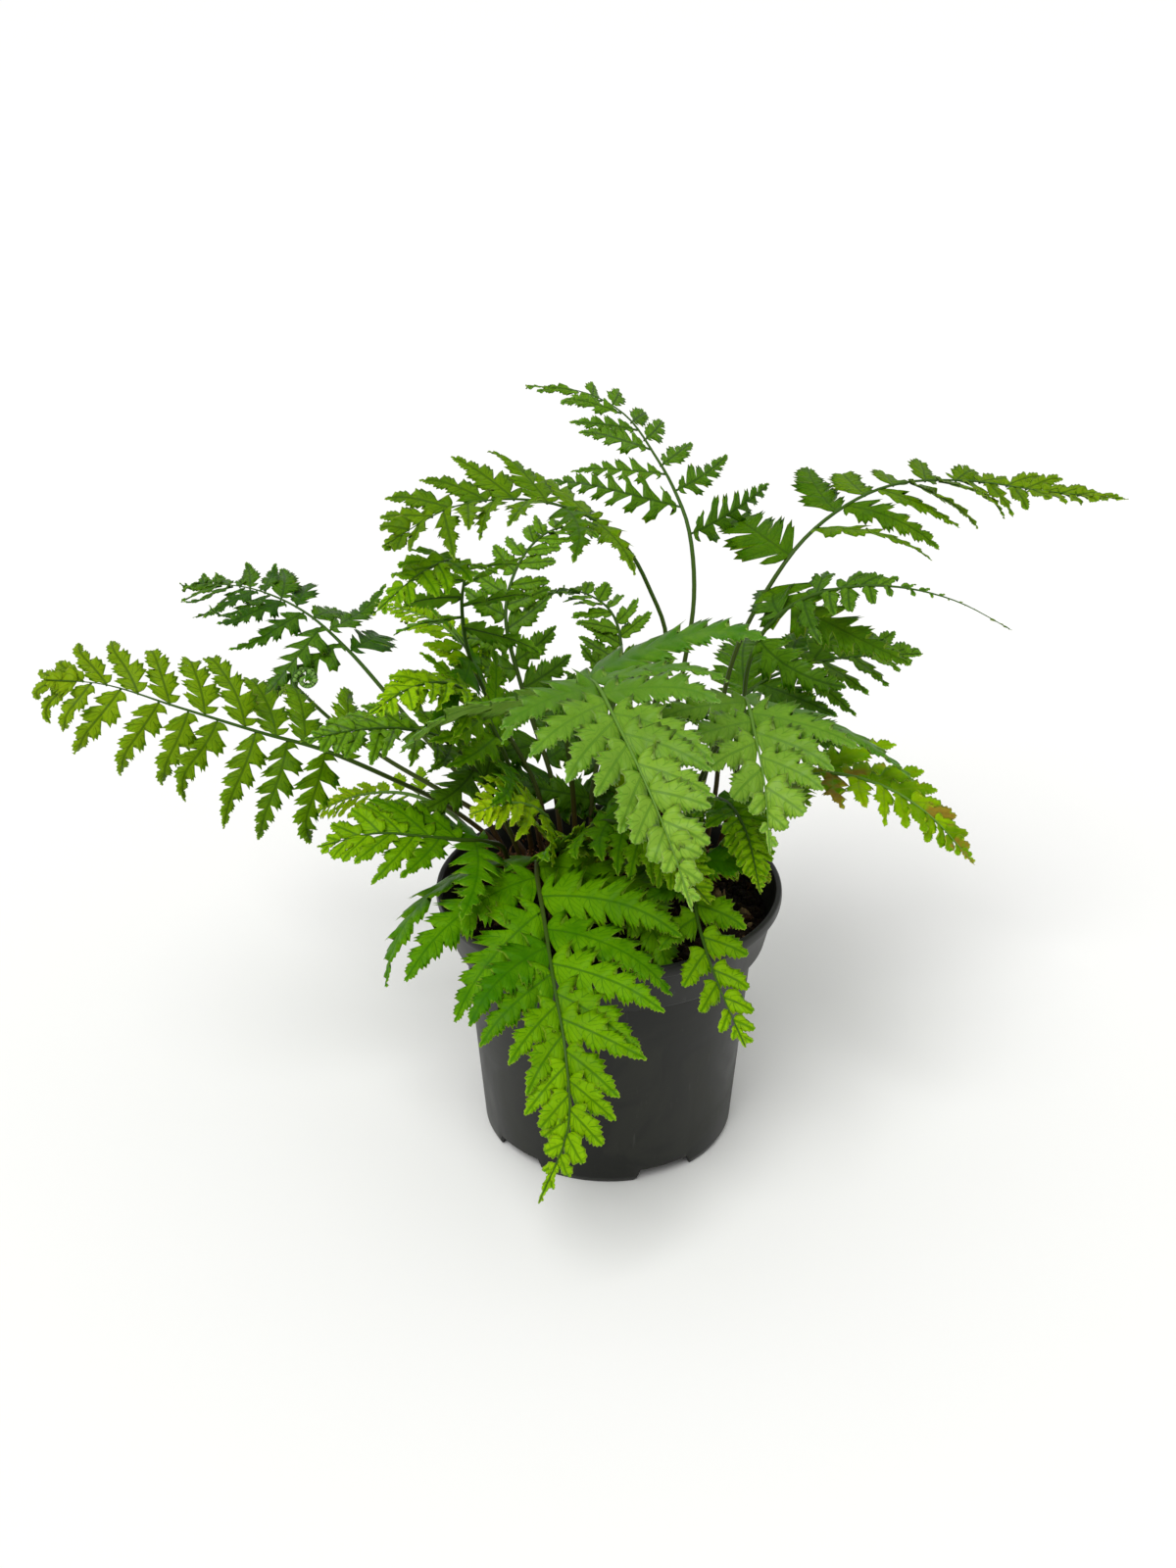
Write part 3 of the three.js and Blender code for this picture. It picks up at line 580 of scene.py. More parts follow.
FRONDS = (
    FrondPlan(
        "frond_front_drooping", Green.BRIGHT, (-24, 8), (-0.08, -0.4, 1), 0.13, 8, 53, 7, 38,
        ((-24.5, 4, 102), (-24, -22, 110), (-20.5, -48, 106), (-17, -72, 99), (-13, -92, 87), (-12, -104, 68),
         (-21, -112, 45)),
        taper=1.12, fan=(66, 50), louvre=-16, lace=0.12, fuller=1.34, spacing=1.2, breadth=1.15,
    ),
    FrondPlan(
        "frond_left_long", Green.OLIVE, (-36, 22), (-0.1, -0.75, 0.75), 0.43, 8, 36, -8, 34,
        ((-45, 26, 101), (-60, 24, 114), (-73, 17, 125), (-97, 5, 143), (-116, -5, 154), (-140, -18, 169),
         (-160, -26, 180), (-177, -32, 184)),
        taper=0.2, fan=(84, 74), uncut=0.14, lace=0.56, curl=45, recurve=105, unruly=2.6, spacing=1.22,
        breadth=0.92,
    ),
    FrondPlan(
        "frond_left_back", Green.DEEP, (-30.5, 25.5), (0, -0.1, 1), 0.6, 6, 34, 0, 55,
        ((-44, 37, 106), (-65, 50, 124), (-80, 58, 139), (-96, 66, 155), (-112, 73, 167), (-132, 81, 173),
         (-156, 90, 172)),
        taper=0.5, fan=(96, 65), uncut=0.25, lace=0.7, fuller=1.2, curl=-70, unruly=2.8, spacing=0.85,
        breadth=1.1, young_tint_and_glow=0.5,
    ),
    FrondPlan(
        "frond_left_low", Green.BRIGHT, (-35, 8), (0, -0.5, 1), 0.42, 4, 36, 8, 40,
        ((-36.5, 4, 106), (-41, -8, 115), (-50, -18, 121), (-62, -25, 126), (-76, -29, 129), (-95, -33, 126)),
        fan=(60, 50), lace=0.3, clothed=0.06, spacing=1.35, breadth=1.1,
    ),
    FrondPlan(
        "frond_left_pale", Green.YOUNG, (-43, 21), (0, -0.2, 1), 0.5, 4, 18, 0, 20,
        ((-50, 29, 99.5), (-61, 41, 103), (-76, 49, 105), (-93, 51, 103), (-112, 48, 96)),
        lace=0.8,
    ),
    FrondPlan(
        "frond_front_low", Green.BRIGHT, (-11, 6), (0, -0.4, 1), 0.3, 5, 29, 5, 22,
        ((-10, 3, 108), (-4, -5, 121), (6, -17, 126), (19, -31, 122), (33, -45, 112)),
        fuller=1.3, clothed=0.1, spacing=1.2, breadth=1.15,
    ),
    FrondPlan(
        "frond_front_small", Green.BRIGHT, (17, 6), (0, -0.5, 1), 0.3, 5, 20, 5, 15,
        ((20, 0, 105), (25, -10, 114), (28, -23, 115), (28, -40, 109), (31, -56, 102), (36, -69, 93),
         (43, -80, 81)),
        taper=0.55, fan=(78, 50), lace=0.05, fuller=1.2, unruly=1.0, spacing=2.4, breadth=0.88,
    ),
    FrondPlan(
        "frond_centre_broad", Green.LIGHT, (-11.5, 18), (0, -0.5, 1), 0.48, 7, 50, 8, 22,
        ((-13, 17, 125), (-15, 10, 150), (-12, -8, 172), (-5, -34, 185), (2, -62, 184), (10, -80, 174),
         (18, -94, 159), (24, -105, 144)),
        taper=1.0, lace=0.12, fuller=1.14, clothed=0.06, spacing=1.3, breadth=1.2,
    ),
    FrondPlan(
        "frond_right_broad", Green.LIGHT, (26, 22), (0.1, -0.4, 1), 0.52, 6, 56, 2, 22,
        ((30, 24, 118), (39, 23, 140), (44, 14, 157), (45, -4, 166), (46, -26, 165), (48, -48, 157),
         (49, -67, 142)),
        taper=1.25, louvre=-24, lace=0.2, clothed=0.06, spacing=1.3, breadth=1.2,
    ),
    FrondPlan(
        "frond_right_under", Green.BRIGHT, (20, 20), (0, -0.3, 1), 0.45, 5, 22, 0, 18,
        ((23, 16, 108), (33, 10, 122), (40, -8, 130), (45, -30, 129), (48, -52, 120)),
        clothed=0.14, spacing=1.3, breadth=1.2,
    ),
    FrondPlan(
        "frond_right_back", Green.DEEP, (29, 27), (0, -0.35, 1), 0.53, 5, 42, -5, 25,
        ((33, 34, 114), (41, 43, 138), (54, 47, 151), (70, 47, 158), (88, 45, 162), (110, 43, 164)),
        louvre=-25, lace=0.2, clothed=0.1, spacing=1.4, breadth=1.1,
    ),
    FrondPlan(
        "frond_right_low", Green.YOUNG, (36, 14), (0, -0.1, 1), 0.44, 4, 27, 0, 20,
        ((41, 14, 106), (54, 11, 123), (71, 1, 137), (89, -13, 140), (104, -25, 135), (118, -37, 123)),
        uncut=0.45, blight=1.05, spacing=1.3, breadth=1.1, young_tint_and_glow=0.2,
    ),
    FrondPlan(
        "frond_right_top", Green.OLIVE, (34, 23), (0, -0.12, 1), 0.475, 7, 38, 3, 30,
        ((38, 28, 120), (39, 31, 148), (44, 32, 171), (53, 34, 190), (65, 40, 206), (82, 54, 215),
         (101, 68, 218), (126, 75, 217), (152, 66, 216), (178, 54, 217)),
        fan=(80, 55), fuller=1.3, clothed=0.04, unruly=2.0, blight=0.4, spacing=1.35, base_gain=0.2,
        young_tint_and_glow=0.8,
    ),
    FrondPlan(
        "frond_right_slender", Green.DEEP, (39, 26), (0, -0.4, 1), 0.56, 5, 28, 0, 50,
        ((44, 26, 118), (46, 23, 147), (47, 20, 169), (53, 18, 184), (63, 15, 194), (76, 8, 201),
         (92, -2, 205), (109, -12, 204), (126, -19, 197)),
        taper=2.3, fan=(100, 55), uncut=0.4, lace=0.4, fuller=1.25, clothed=0.06, spacing=1.6, breadth=0.8,
    ),
    FrondPlan(
        "frond_top", Green.DEEP, (17, 25), (0, 0.1, 1), 0.57, 5, 44, 0, 15,
        ((20, 32, 120), (25, 38, 155), (29, 44, 184), (27, 52, 206), (22, 63, 217), (16, 78, 224),
         (5, 98, 234), (-10, 111, 239), (-32, 118, 240)),
        fan=(70, 55), louvre=14, lace=0.9, fuller=0.95, clothed=0.03, unruly=2.0, spacing=1.6, breadth=0.8,
    ),
    FrondPlan(
        "frond_centre_top", Green.OLIVE, (5, 22), (0.15, -0.12, 1), 0.57, 7, 46, 8, 20,
        ((8, 24, 122), (15, 25, 150), (19, 24, 177), (13, 20, 196), (5, 13, 213), (-7, 4, 226),
         (-25, -4, 234), (-48, -14, 235), (-69, -32, 228)),
        taper=0.7, fan=(85, 58), uncut=0.25, lace=0.4, fuller=1.05, clothed=-0.06, unruly=2.6, spacing=1.3,
        base_gain=-0.3, young_tint_and_glow=0.6,
    ),
    FrondPlan(
        "frond_left_top", Green.BRIGHT, (-20.5, 19), (0, -0.3, 1), 0.58, 6, 34, 0, 30,
        ((-26, 22, 122), (-40, 23, 150), (-48, 18, 174), (-49, 10, 194), (-47, 0, 209), (-50, -12, 217),
         (-59, -26, 217), (-72, -40, 209)),
        fan=(90, 60), lace=0.4, clothed=0.14, unruly=2.6, spacing=1.45, young_tint_and_glow=0.8,
    ),
    FrondPlan(
        "frond_left_pale_high", Green.YOUNG, (-24, 25), (0, -0.3, 1), 0.68, 4, 17, 0, 15,
        ((-29, 31, 114), (-40, 38, 142), (-50, 43, 164), (-60, 48, 172), (-71, 53, 175), (-84, 57, 177)),
        lace=0.7, clothed=0.14, unruly=2.2, spacing=1.3, young_tint_and_glow=0.5,
    ),
    # Its young tint above 1 is painted light: the glow of a frond lit through from behind, deep inside the
    # plant.
    FrondPlan(
        "frond_left_inner", Green.BRIGHT, (-27, 20), (0, -0.5, 1), 0.5, 5, 34, 0, 25,
        ((-30, 18, 114), (-37, 11, 142), (-44, 2, 162), (-52, -12, 175), (-63, -28, 180), (-76, -42, 176)),
        lace=0.4, fuller=1.15, clothed=0.22, unruly=2.6, spacing=1.45, young_tint_and_glow=1.3,
    ),
    # Its young tint above 1 is painted light: the glow of a frond lit through from behind, deep inside the
    # plant.
    FrondPlan(
        "frond_left_middle", Green.DEEP, (-29.5, 10.5), (0, -0.4, 1), 0.45, 5, 33, 0, 25,
        ((-34, 10, 108), (-45, 12, 130), (-56, 5, 147), (-68, -6, 156), (-82, -18, 161), (-99, -29, 162)),
        lace=0.4, clothed=0.12, unruly=2.6, spacing=1.4, young_tint_and_glow=1.7,
    ),
    # Its young tint above 1 is painted light: the glow of a frond lit through from behind, deep inside the
    # plant.
    FrondPlan(
        "frond_back_centre", Green.DEEP, (-6, 21), (0, -0.1, 1), 0.52, 5, 30, 5, 15,
        ((-6, 28, 118), (1, 41, 143), (4, 52, 161), (0, 65, 171), (-13, 78, 174), (-30, 88, 168)),
        fan=(80, 60), lace=0.4, clothed=0.38, unruly=2.4, spacing=1.45, young_tint_and_glow=1.8,
    ),
    # Its young tint above 1 is painted light: the glow of a frond lit through from behind, deep inside the
    # plant.
    FrondPlan(
        "frond_back_left", Green.DEEP, (-16.5, 22), (0, -0.4, 1), 0.5, 5, 30, 0, 20,
        ((-20, 30, 118), (-31, 41, 150), (-37, 50, 176), (-32, 62, 191), (-22, 74, 198), (-8, 84, 196),
         (8, 92, 184)),
        fan=(85, 60), lace=0.4, clothed=0.36, unruly=2.4, spacing=1.45, young_tint_and_glow=1.8,
    ),
    FrondPlan(
        "frond_centre_young", Green.YOUNG, (-0.5, 19), (0, -0.5, 1), 0.4, 4, 22, 0, 15,
        ((3, 20, 108), (7, 14, 128), (6, 2, 141), (0, -12, 147)),
        lace=0.4, fuller=1.7, clothed=0.28, spacing=1.3,
    ),
    FrondPlan(
        "frond_left_young", Green.YOUNG, (-17, 11), (0, -0.5, 1), 0.45, 4, 22, 0, 15,
        ((-18, 7, 108), (-23, -3, 124), (-33, -14, 133), (-46, -25, 134)),
        lace=0.4, fuller=1.6, clothed=0.2, spacing=1.3,
    ),
    FrondPlan(
        "frond_right_young", Green.YOUNG, (29, 6), (0, -0.4, 1), 0.4, 4, 15, 0, 15,
        ((32, 4, 101), (38, -2, 108), (46, -9, 109), (54, -18, 105)),
        lace=0.6, clothed=0.1,
    ),
)


class Curve:
    """A smooth curve through points, measured along its own length."""

    STEPS = 32
    NUDGE_MM = 0.5

    def __init__(self, points: np.ndarray) -> None:
        """Lays a centripetal Catmull-Rom curve.

        Args:
            points: The points that it runs through.
        """
        ends = [2 * points[0] - points[1], *points, 2 * points[-1] - points[-2]]
        t = np.linspace(0.0, 1.0, self.STEPS, endpoint=False)[:, None]
        stretches = []
        for p0, p1, p2, p3 in zip(ends, ends[1:], ends[2:], ends[3:]):
            before, here, after = (math.dist(a, b) ** 0.5 for a, b in ((p0, p1), (p1, p2), (p2, p3)))
            leave = ((p1 - p0) / before - (p2 - p0) / (before + here) + (p2 - p1) / here) * here
            arrive = ((p2 - p1) / here - (p3 - p1) / (here + after) + (p3 - p2) / after) * here
            bow = -3 * p1 + 3 * p2 - 2 * leave - arrive
            twist = 2 * p1 - 2 * p2 + leave + arrive
            stretches.append(p1 + leave * t + bow * t ** 2 + twist * t ** 3)
        self.points = np.vstack([*stretches, points[-1]])
        gaps = np.linalg.norm(np.diff(self.points, axis=0), axis=1)
        self.reached = np.concatenate([[0.0], np.cumsum(gaps)])
        self.length = float(self.reached[-1])

    def at(self, share: np.ndarray) -> np.ndarray:
        """The points at shares of the length."""
        distance = np.asarray(share, dtype=float) * self.length
        return np.stack([np.interp(distance, self.reached, axis) for axis in self.points.T], axis=-1)

    def along(self, share: np.ndarray) -> np.ndarray:
        """The directions at shares of the length."""
        nudge = self.NUDGE_MM / self.length
        return unit(self.at(np.minimum(share + nudge, 1.0)) - self.at(np.maximum(share - nudge, 0.0)))


@dataclass
class Places:
    """Places along a line, with three directions each: along it, across it and up from its face."""

    TOP = np.pi / 2
    GROOVE_WIDTH = 0.55

    point: np.ndarray
    along: np.ndarray
    across: np.ndarray
    up: np.ndarray

    def one(self, number: int) -> "Places":
        """One of the places."""
        return Places(self.point[number], self.along[number], self.across[number], self.up[number])

    def rings(self, half: np.ndarray, sides: int, start: float = 0.0, groove: float = 0.0) -> np.ndarray:
        """Lays a round ring at each place.

        Args:
            half: The half widths of the rings.
            sides: How many points each has.
            start: The angle of its first point, in radians from across towards up.
            groove: How deep the groove in its upper side is, as a share of the half width.

        Returns:
            The points, one row for each ring.
        """
        turn = round_angles(sides) + start
        dent = 1.0 - groove * np.exp(-((turn - self.TOP) / self.GROOVE_WIDTH) ** 2)
        right = np.cos(turn)[None, :, None] * self.across[:, None]
        rise = (np.sin(turn) * dent)[None, :, None] * self.up[:, None]
        return self.point[:, None] + (right + rise) * half[:, None, None]


class Midrib:
    """The line of a frond above its foot. Its face turns from the plant's middle to its own side."""

    ROOT_Z = 82.5
    FOOT_LENGTH = 11.0
    INWARD_LEAN = 0.6

    def __init__(self, root: tuple, route: tuple, facing: tuple, stalk: float) -> None:
        """Lays the midrib.

        Args:
            root: Where the stalk leaves the rhizome.
            route: The points that it runs through from there.
            facing: The direction that the blade faces.
            stalk: The share of it over which its face turns there.
        """
        knee = np.array([*root, self.ROOT_Z + self.FOOT_LENGTH], dtype=float)
        self.foot = np.array([*root, self.ROOT_Z], dtype=float)
        self.curve = Curve(np.vstack([knee, np.array(route, dtype=float)]))
        self.length = self.curve.length
        heading = (np.array(route[-1], dtype=float) - knee) * (1, 1, 0)
        self.heading = unit(heading)
        self.facing = unit(np.array(facing, dtype=float))
        self.stalk = stalk

    def places(self, share: np.ndarray) -> Places:
        """Gives the places on the midrib. Across is to its right, as seen from above.

        Args:
            share: Shares of its length.

        Returns:
            The place at each.
        """
        share = np.asarray(share, dtype=float)
        along = self.curve.along(share)
        inward = UP - self.INWARD_LEAN * self.heading
        facing = lerp(inward, self.facing, smooth(share, 0.0, self.stalk)[..., None])
        up = unit(facing - along * dot(facing, along))
        return Places(self.curve.at(share), along, np.cross(along, up), up)


@dataclass(frozen=True)
class PinnaForm:
    """How a leatherleaf's pinnae are cut.

    A pair runs from a plain leaf to a lacy one, or is the span in which a thing sets in. A size without a
    unit is a share of the pinna's length, of its half width or of a lobe's length.
    """

    # The outline: its width and taper, its short stem, and the wedge that it widens with.
    width: Pair = (0.225, 0.185)
    least_width: float = 0.6
    most_width: float = 0.4
    taper: Pair = (0.82, 0.5)
    end: float = 0.985
    taper_end: float = 0.995
    grown_mm: Pair = (8.0, 20.0)
    stem_mm: float = 1.9
    stem_lace: Pair = (0.3, 1.0)
    wedge: Pair = (0.06, 0.16)
    wedge_mm: float = 0.4
    wedge_width: Pair = (0.9, 0.35)

    # The lobes: their number, the grid that draws them, and how round and deep they are cut.
    lobe_mm: Pair = (7.2, 4.9)
    most_lobes: int = 8
    columns: int = 8
    rows: tuple[float, ...] = (0.0, 0.3, 0.65, 1.0)
    crowding: float = 1.25
    first_phase: Pair = (0.25, 0.625)
    squareness: Pair = (2.6, 3.0)
    roundness: Pair = (0.75, 0.85)
    base_uncut: Pair = (0.6, 0.12)
    end_uncut: Pair = (0.8, 0.45)
    uncut_span: Pair = (0.15, 0.95)
    whole_mm: Pair = (8.0, 24.0)
    whole_uncut: float = 0.84
    deep_mm: Pair = (28.0, 50.0)
    deeper: float = 0.8
    lobe_vary: float = 0.1
    tooth_mm: Pair = (1.6, 0.6)
    most_tooth: float = 0.16
    tooth_dip: float = 0.6
    least_mm: float = 0.12
    slim_mm: float = 0.3

    # How the lobes lean forward and narrow at their foot.
    waist_span: Pair = (0.2, 0.5)
    flare_span: Pair = (0.5, 0.95)
    flare: float = 1.1
    pinch: float = 0.6
    first_lean: Pair = (0.45, -0.1)
    lean: float = 0.5
    lean_span: Pair = (0.0, 0.35)
    lean_loss: float = 0.15
    bend: float = 0.35

    # The relief of the blade: sagging sides, tilted and quilted lobes, and the sunk rib.
    sag: float = 0.14
    rise: Pair = (-0.12, 0.14)
    tilt: float = 0.24
    tilt_vary: float = 0.16
    quilt: float = 0.09
    quilt_fade: float = 1.3
    ripple: float = 0.06
    ripple_pace: float = 2.3
    rib_sink_mm: float = 0.2
    thickness_mm: float = 0.3
    thick_at_mm: float = 2.0

    # The pale rim stays away from the leaf's uncut middle.
    sound_mm: float = 1.6
    sound_span: Pair = (0.3, 1.0)

    # The rib of the pinna, and how far it strays.
    rib_steps: int = 48
    sweep_deg: float = 14.0
    stagger: float = 0.3
    stray_sweep: float = 9.0
    stray_louvre: float = 7.0
    stray_twist: float = 16.0
    stray_lift: float = 5.0
    vary_recurve: Pair = (0.3, 1.6)
    vary_curl: Pair = (0.1, 1.5)
    vary_droop: Pair = (0.6, 1.45)
    curl_span: Pair = (0.45, 1.05)

    def lobes(self, length: float, lace: float) -> int:
        """How many lobes a pinna has on each side."""
        return int(np.clip(round(length / lerp(*self.lobe_mm, lace)), 1, self.most_lobes))


FORM = PinnaForm()


@dataclass
class PinnaRib:
    """The line of one pinna's rib, which bends and twists in its own way.

    Attributes:
        plan: The frond's plan.
        start: The place on the midrib that it grows from.
        side: 1 for the right, and -1 for the left.
        length: Its length.
        angle: The angle in radians that it leaves the midrib at.
        rng: The source of its own bends.
    """

    plan: FrondPlan
    start: Places
    side: int
    length: float
    angle: float
    rng: Generator

    def __post_init__(self) -> None:
        """Draws its bends, and lays its line in short steps."""
        plan, start, wild, draw = self.plan, self.start, self.plan.unruly, self.rng.uniform
        self.outward = turned(start.along, start.across * self.side, self.angle)
        self.forward = unit(start.along - self.outward * np.dot(start.along, self.outward))
        self.louvre = math.radians(plan.louvre + wild * draw(-FORM.stray_louvre, FORM.stray_louvre))
        self.twist = math.radians(wild * draw(-FORM.stray_twist, FORM.stray_twist))
        self.sweep = math.radians(FORM.sweep_deg + wild * draw(-FORM.stray_sweep, FORM.stray_sweep))
        self.recurve = math.radians(-plan.recurve * draw(*FORM.vary_recurve))
        self.curl = math.radians(plan.curl * draw(*FORM.vary_curl))
        self.lift = math.radians(plan.lift + wild * draw(-FORM.stray_lift, FORM.stray_lift))
        self.droop = math.radians(plan.droop * draw(*FORM.vary_droop))
        self.marks = np.linspace(0.0, self.length, FORM.rib_steps + 1)
        middles = (self.marks[1:] + self.marks[:-1]) / 2
        steps = self.directions(middles).along * self.length / FORM.rib_steps
        self.line = start.point + np.vstack([np.zeros(3), np.cumsum(steps, axis=0)])

    def directions(self, distance: np.ndarray) -> Places:
        """Gives the directions of the rib.

        Args:
            distance: Distances along it.

        Returns:
            The directions at each, with no points yet.
        """
        t = (distance / self.plan.reach)[:, None]
        last = smooth(distance / self.length, *FORM.curl_span)[:, None]
        swept = self.sweep * t + self.recurve * last
        bend = self.droop * t - self.lift + self.curl * last
        onward = turned(self.forward, -self.outward, swept)
        along = turned(turned(self.outward, self.forward, swept), self.start.up, -bend)
        flat = unit(onward - along * dot(onward, along))
        face = np.cross(along, flat) * self.side
        slant = self.louvre + self.twist * (distance / self.length)[:, None]
        return Places(along * 0.0, along, turned(flat, face, slant), turned(face, flat, -slant))

    def places(self, distance: np.ndarray) -> Places:
        """Gives the places on the rib.

        Args:
            distance: Distances along it.

        Returns:
            The place at each.
        """
        here = self.directions(distance)
        here.point = np.stack([np.interp(distance, self.marks, axis) for axis in self.line.T], axis=-1)
        return here


@dataclass
class Lamina:
    """The blade on both sides of one rib, as a thin closed shell whose outline is cut into toothed lobes.

    Attributes:
        places: The places along the rib, one for each column of the blade.
        reached: How far along the rib each is, in millimetres.
        half: The half width of the outline there.
        hand: 1 where up is along crossed with across, and -1 where it is the other way.
        whole: How little its lobes are cut apart, up to 1, and below 0 for deeper cuts.
    """

    places: Places
    reached: np.ndarray
    half: np.ndarray
    hand: float
    whole: float = 1.0

    def side_grid(
        self, side: int, lobes: int, lace: float, rng: Generator,
    ) -> tuple[np.ndarray, np.ndarray, np.ndarray]:
        """Lays out one side of the blade.

        Args:
            side: 1 for the side that across points to, and -1 for the other.
            lobes: The number of lobes.
            lace: How deep and round the cuts between the lobes are, from 0 to 1.
            rng: The source of its small irregularities.

        Returns:
            The top points from the rib out, their marks, and how far the underside lies below them.
        """
        count = len(self.reached)
        share = np.linspace(0.0, 1.0, count)
        phase = share * lobes + FORM.first_phase[0 if side > 0 else 1]
        number = np.minimum(np.floor(phase).astype(int), lobes)
        part = phase - number
        bulge = 1.0 - np.abs(2.0 * part - 1.0) ** lerp(*FORM.squareness, lace)
        bulge = bulge ** lerp(*FORM.roundness, lace)
        base_uncut, end_uncut = (lerp(*pair, lace) for pair in (FORM.base_uncut, FORM.end_uncut))
        uncut = lerp(base_uncut, end_uncut, smooth(share, *FORM.uncut_span))
        uncut = lerp(uncut, FORM.whole_uncut, self.whole)
        lobe_size = 1.0 + rng.uniform(-FORM.lobe_vary, FORM.lobe_vary, lobes + 2)[number]
        width = self.half * lerp(uncut, lobe_size, bulge)
        tooth = np.minimum(lerp(*FORM.tooth_mm, lace), FORM.most_tooth * self.half)
        teeth = np.where(np.arange(count) % 2 == 1, 1.0, -FORM.tooth_dip) * tooth
        width = np.maximum(width + teeth * bulge, FORM.least_mm)
        lobe_length = (np.gradient(self.reached) * (count - 1) / lobes)[:, None]
        part = part[:, None]
        row = np.array(FORM.rows)[None, :]
        lateral = width[:, None] * row
        depth = lateral / np.maximum(self.half[:, None], FORM.slim_mm)
        waist = smooth(depth, *FORM.waist_span) - FORM.flare * smooth(depth, *FORM.flare_span)
        pinch = -waist * FORM.pinch * lace * (part - 0.5) * lobe_length
        lean = lerp(FORM.first_lean[0 if side > 0 else 1], FORM.lean, smooth(share, *FORM.lean_span))
        lean = lean - FORM.lean_loss * share
        forward = lateral * (lean[:, None] + FORM.bend * row) + pinch
        rise = rng.uniform(*FORM.rise, lobes + 2)[number][:, None]
        tilt = (FORM.tilt + rng.uniform(-FORM.tilt_vary, FORM.tilt_vary, lobes + 2))[number][:, None]
        quilt = FORM.quilt * lobe_length * np.sin(2 * np.pi * part) ** 2 * row * (FORM.quilt_fade - row)
        ripple = FORM.ripple * self.half * np.sin(FORM.ripple_pace * phase + rng.uniform(0.0, 2 * np.pi))
        height = (
            (rise - FORM.sag) * lateral * row + tilt * (part - 0.5) * lobe_length * row
            + quilt + ripple[:, None] * row ** 2 - FORM.rib_sink_mm * (1.0 - row) ** 4
        )
        here = self.places
        points = (
            here.point[:, None] + here.across[:, None] * (side * lateral)[..., None]
            + here.along[:, None] * forward[..., None] + here.up[:, None] * height[..., None]
        )
        off_vein = np.abs(part - 0.5) * lobe_length * np.ones_like(row)
        from_cut = (0.5 - np.abs(part - 0.5)) * lobe_length
        inside = lateral / np.maximum(uncut * self.half, FORM.slim_mm)[:, None]
        sound = FORM.sound_mm * (1.0 - smooth(inside, *FORM.sound_span))
        from_rim = np.minimum(width[:, None] - lateral, from_cut + sound)
        marks = np.stack([off_vein, lateral, from_rim], axis=-1)
        below = FORM.thickness_mm * (1.0 - row ** 4) * smooth(self.half, 0.0, FORM.thick_at_mm)[:, None]
        return points, marks, below

    def add_to(
        self, skin: Skin, lobes: int, lace: float, tone: np.ndarray, rng: Generator,
    ) -> None:
        """Adds the blade to a frond's skin.

        Args:
            skin: The frond's skin.
            lobes: The number of lobes on each side.
            lace: How deep and round the cuts are.
            tone: The tone mark of the whole blade.
            rng: The source of its small irregularities.
        """
        ring_parts = []
        rib_top = rib_bottom = None
        for side in (1, -1):
            points, marks, below = self.side_grid(side, lobes, lace, rng)
            under = points - self.places.up[:, None] * below[..., None]
            if rib_top is None:
                rib_top = skin.add(points[:, :1], vein=marks[:, :1], tone=tone)
                rib_bottom = skin.add(under[:, :1], vein=marks[:, :1], tone=tone)
            outer = skin.add(points[:, 1:], vein=marks[:, 1:], tone=tone)
            inner = skin.add(under[:, 1:-1], vein=marks[:, 1:-1], tone=tone)
            top = np.concatenate([rib_top, outer], axis=1)
            bottom = np.concatenate([rib_bottom, inner, outer[:, -1:]], axis=1)
            flip = side * self.hand < 0
            skin.grid(top, flip=flip)
            skin.grid(bottom, under=1.0, flip=not flip)
            ring_parts.append((top, bottom))
        (top_a, bottom_a), (top_b, bottom_b) = ring_parts
        for row, is_end in ((0, False), (-1, True)):
            ring = [top_a[row, ::-1], top_b[row, 1:], bottom_b[row, -2:0:-1], bottom_a[row, :-1]]
            skin.face(np.concatenate(ring)[None], flip=(self.hand > 0) != is_end)


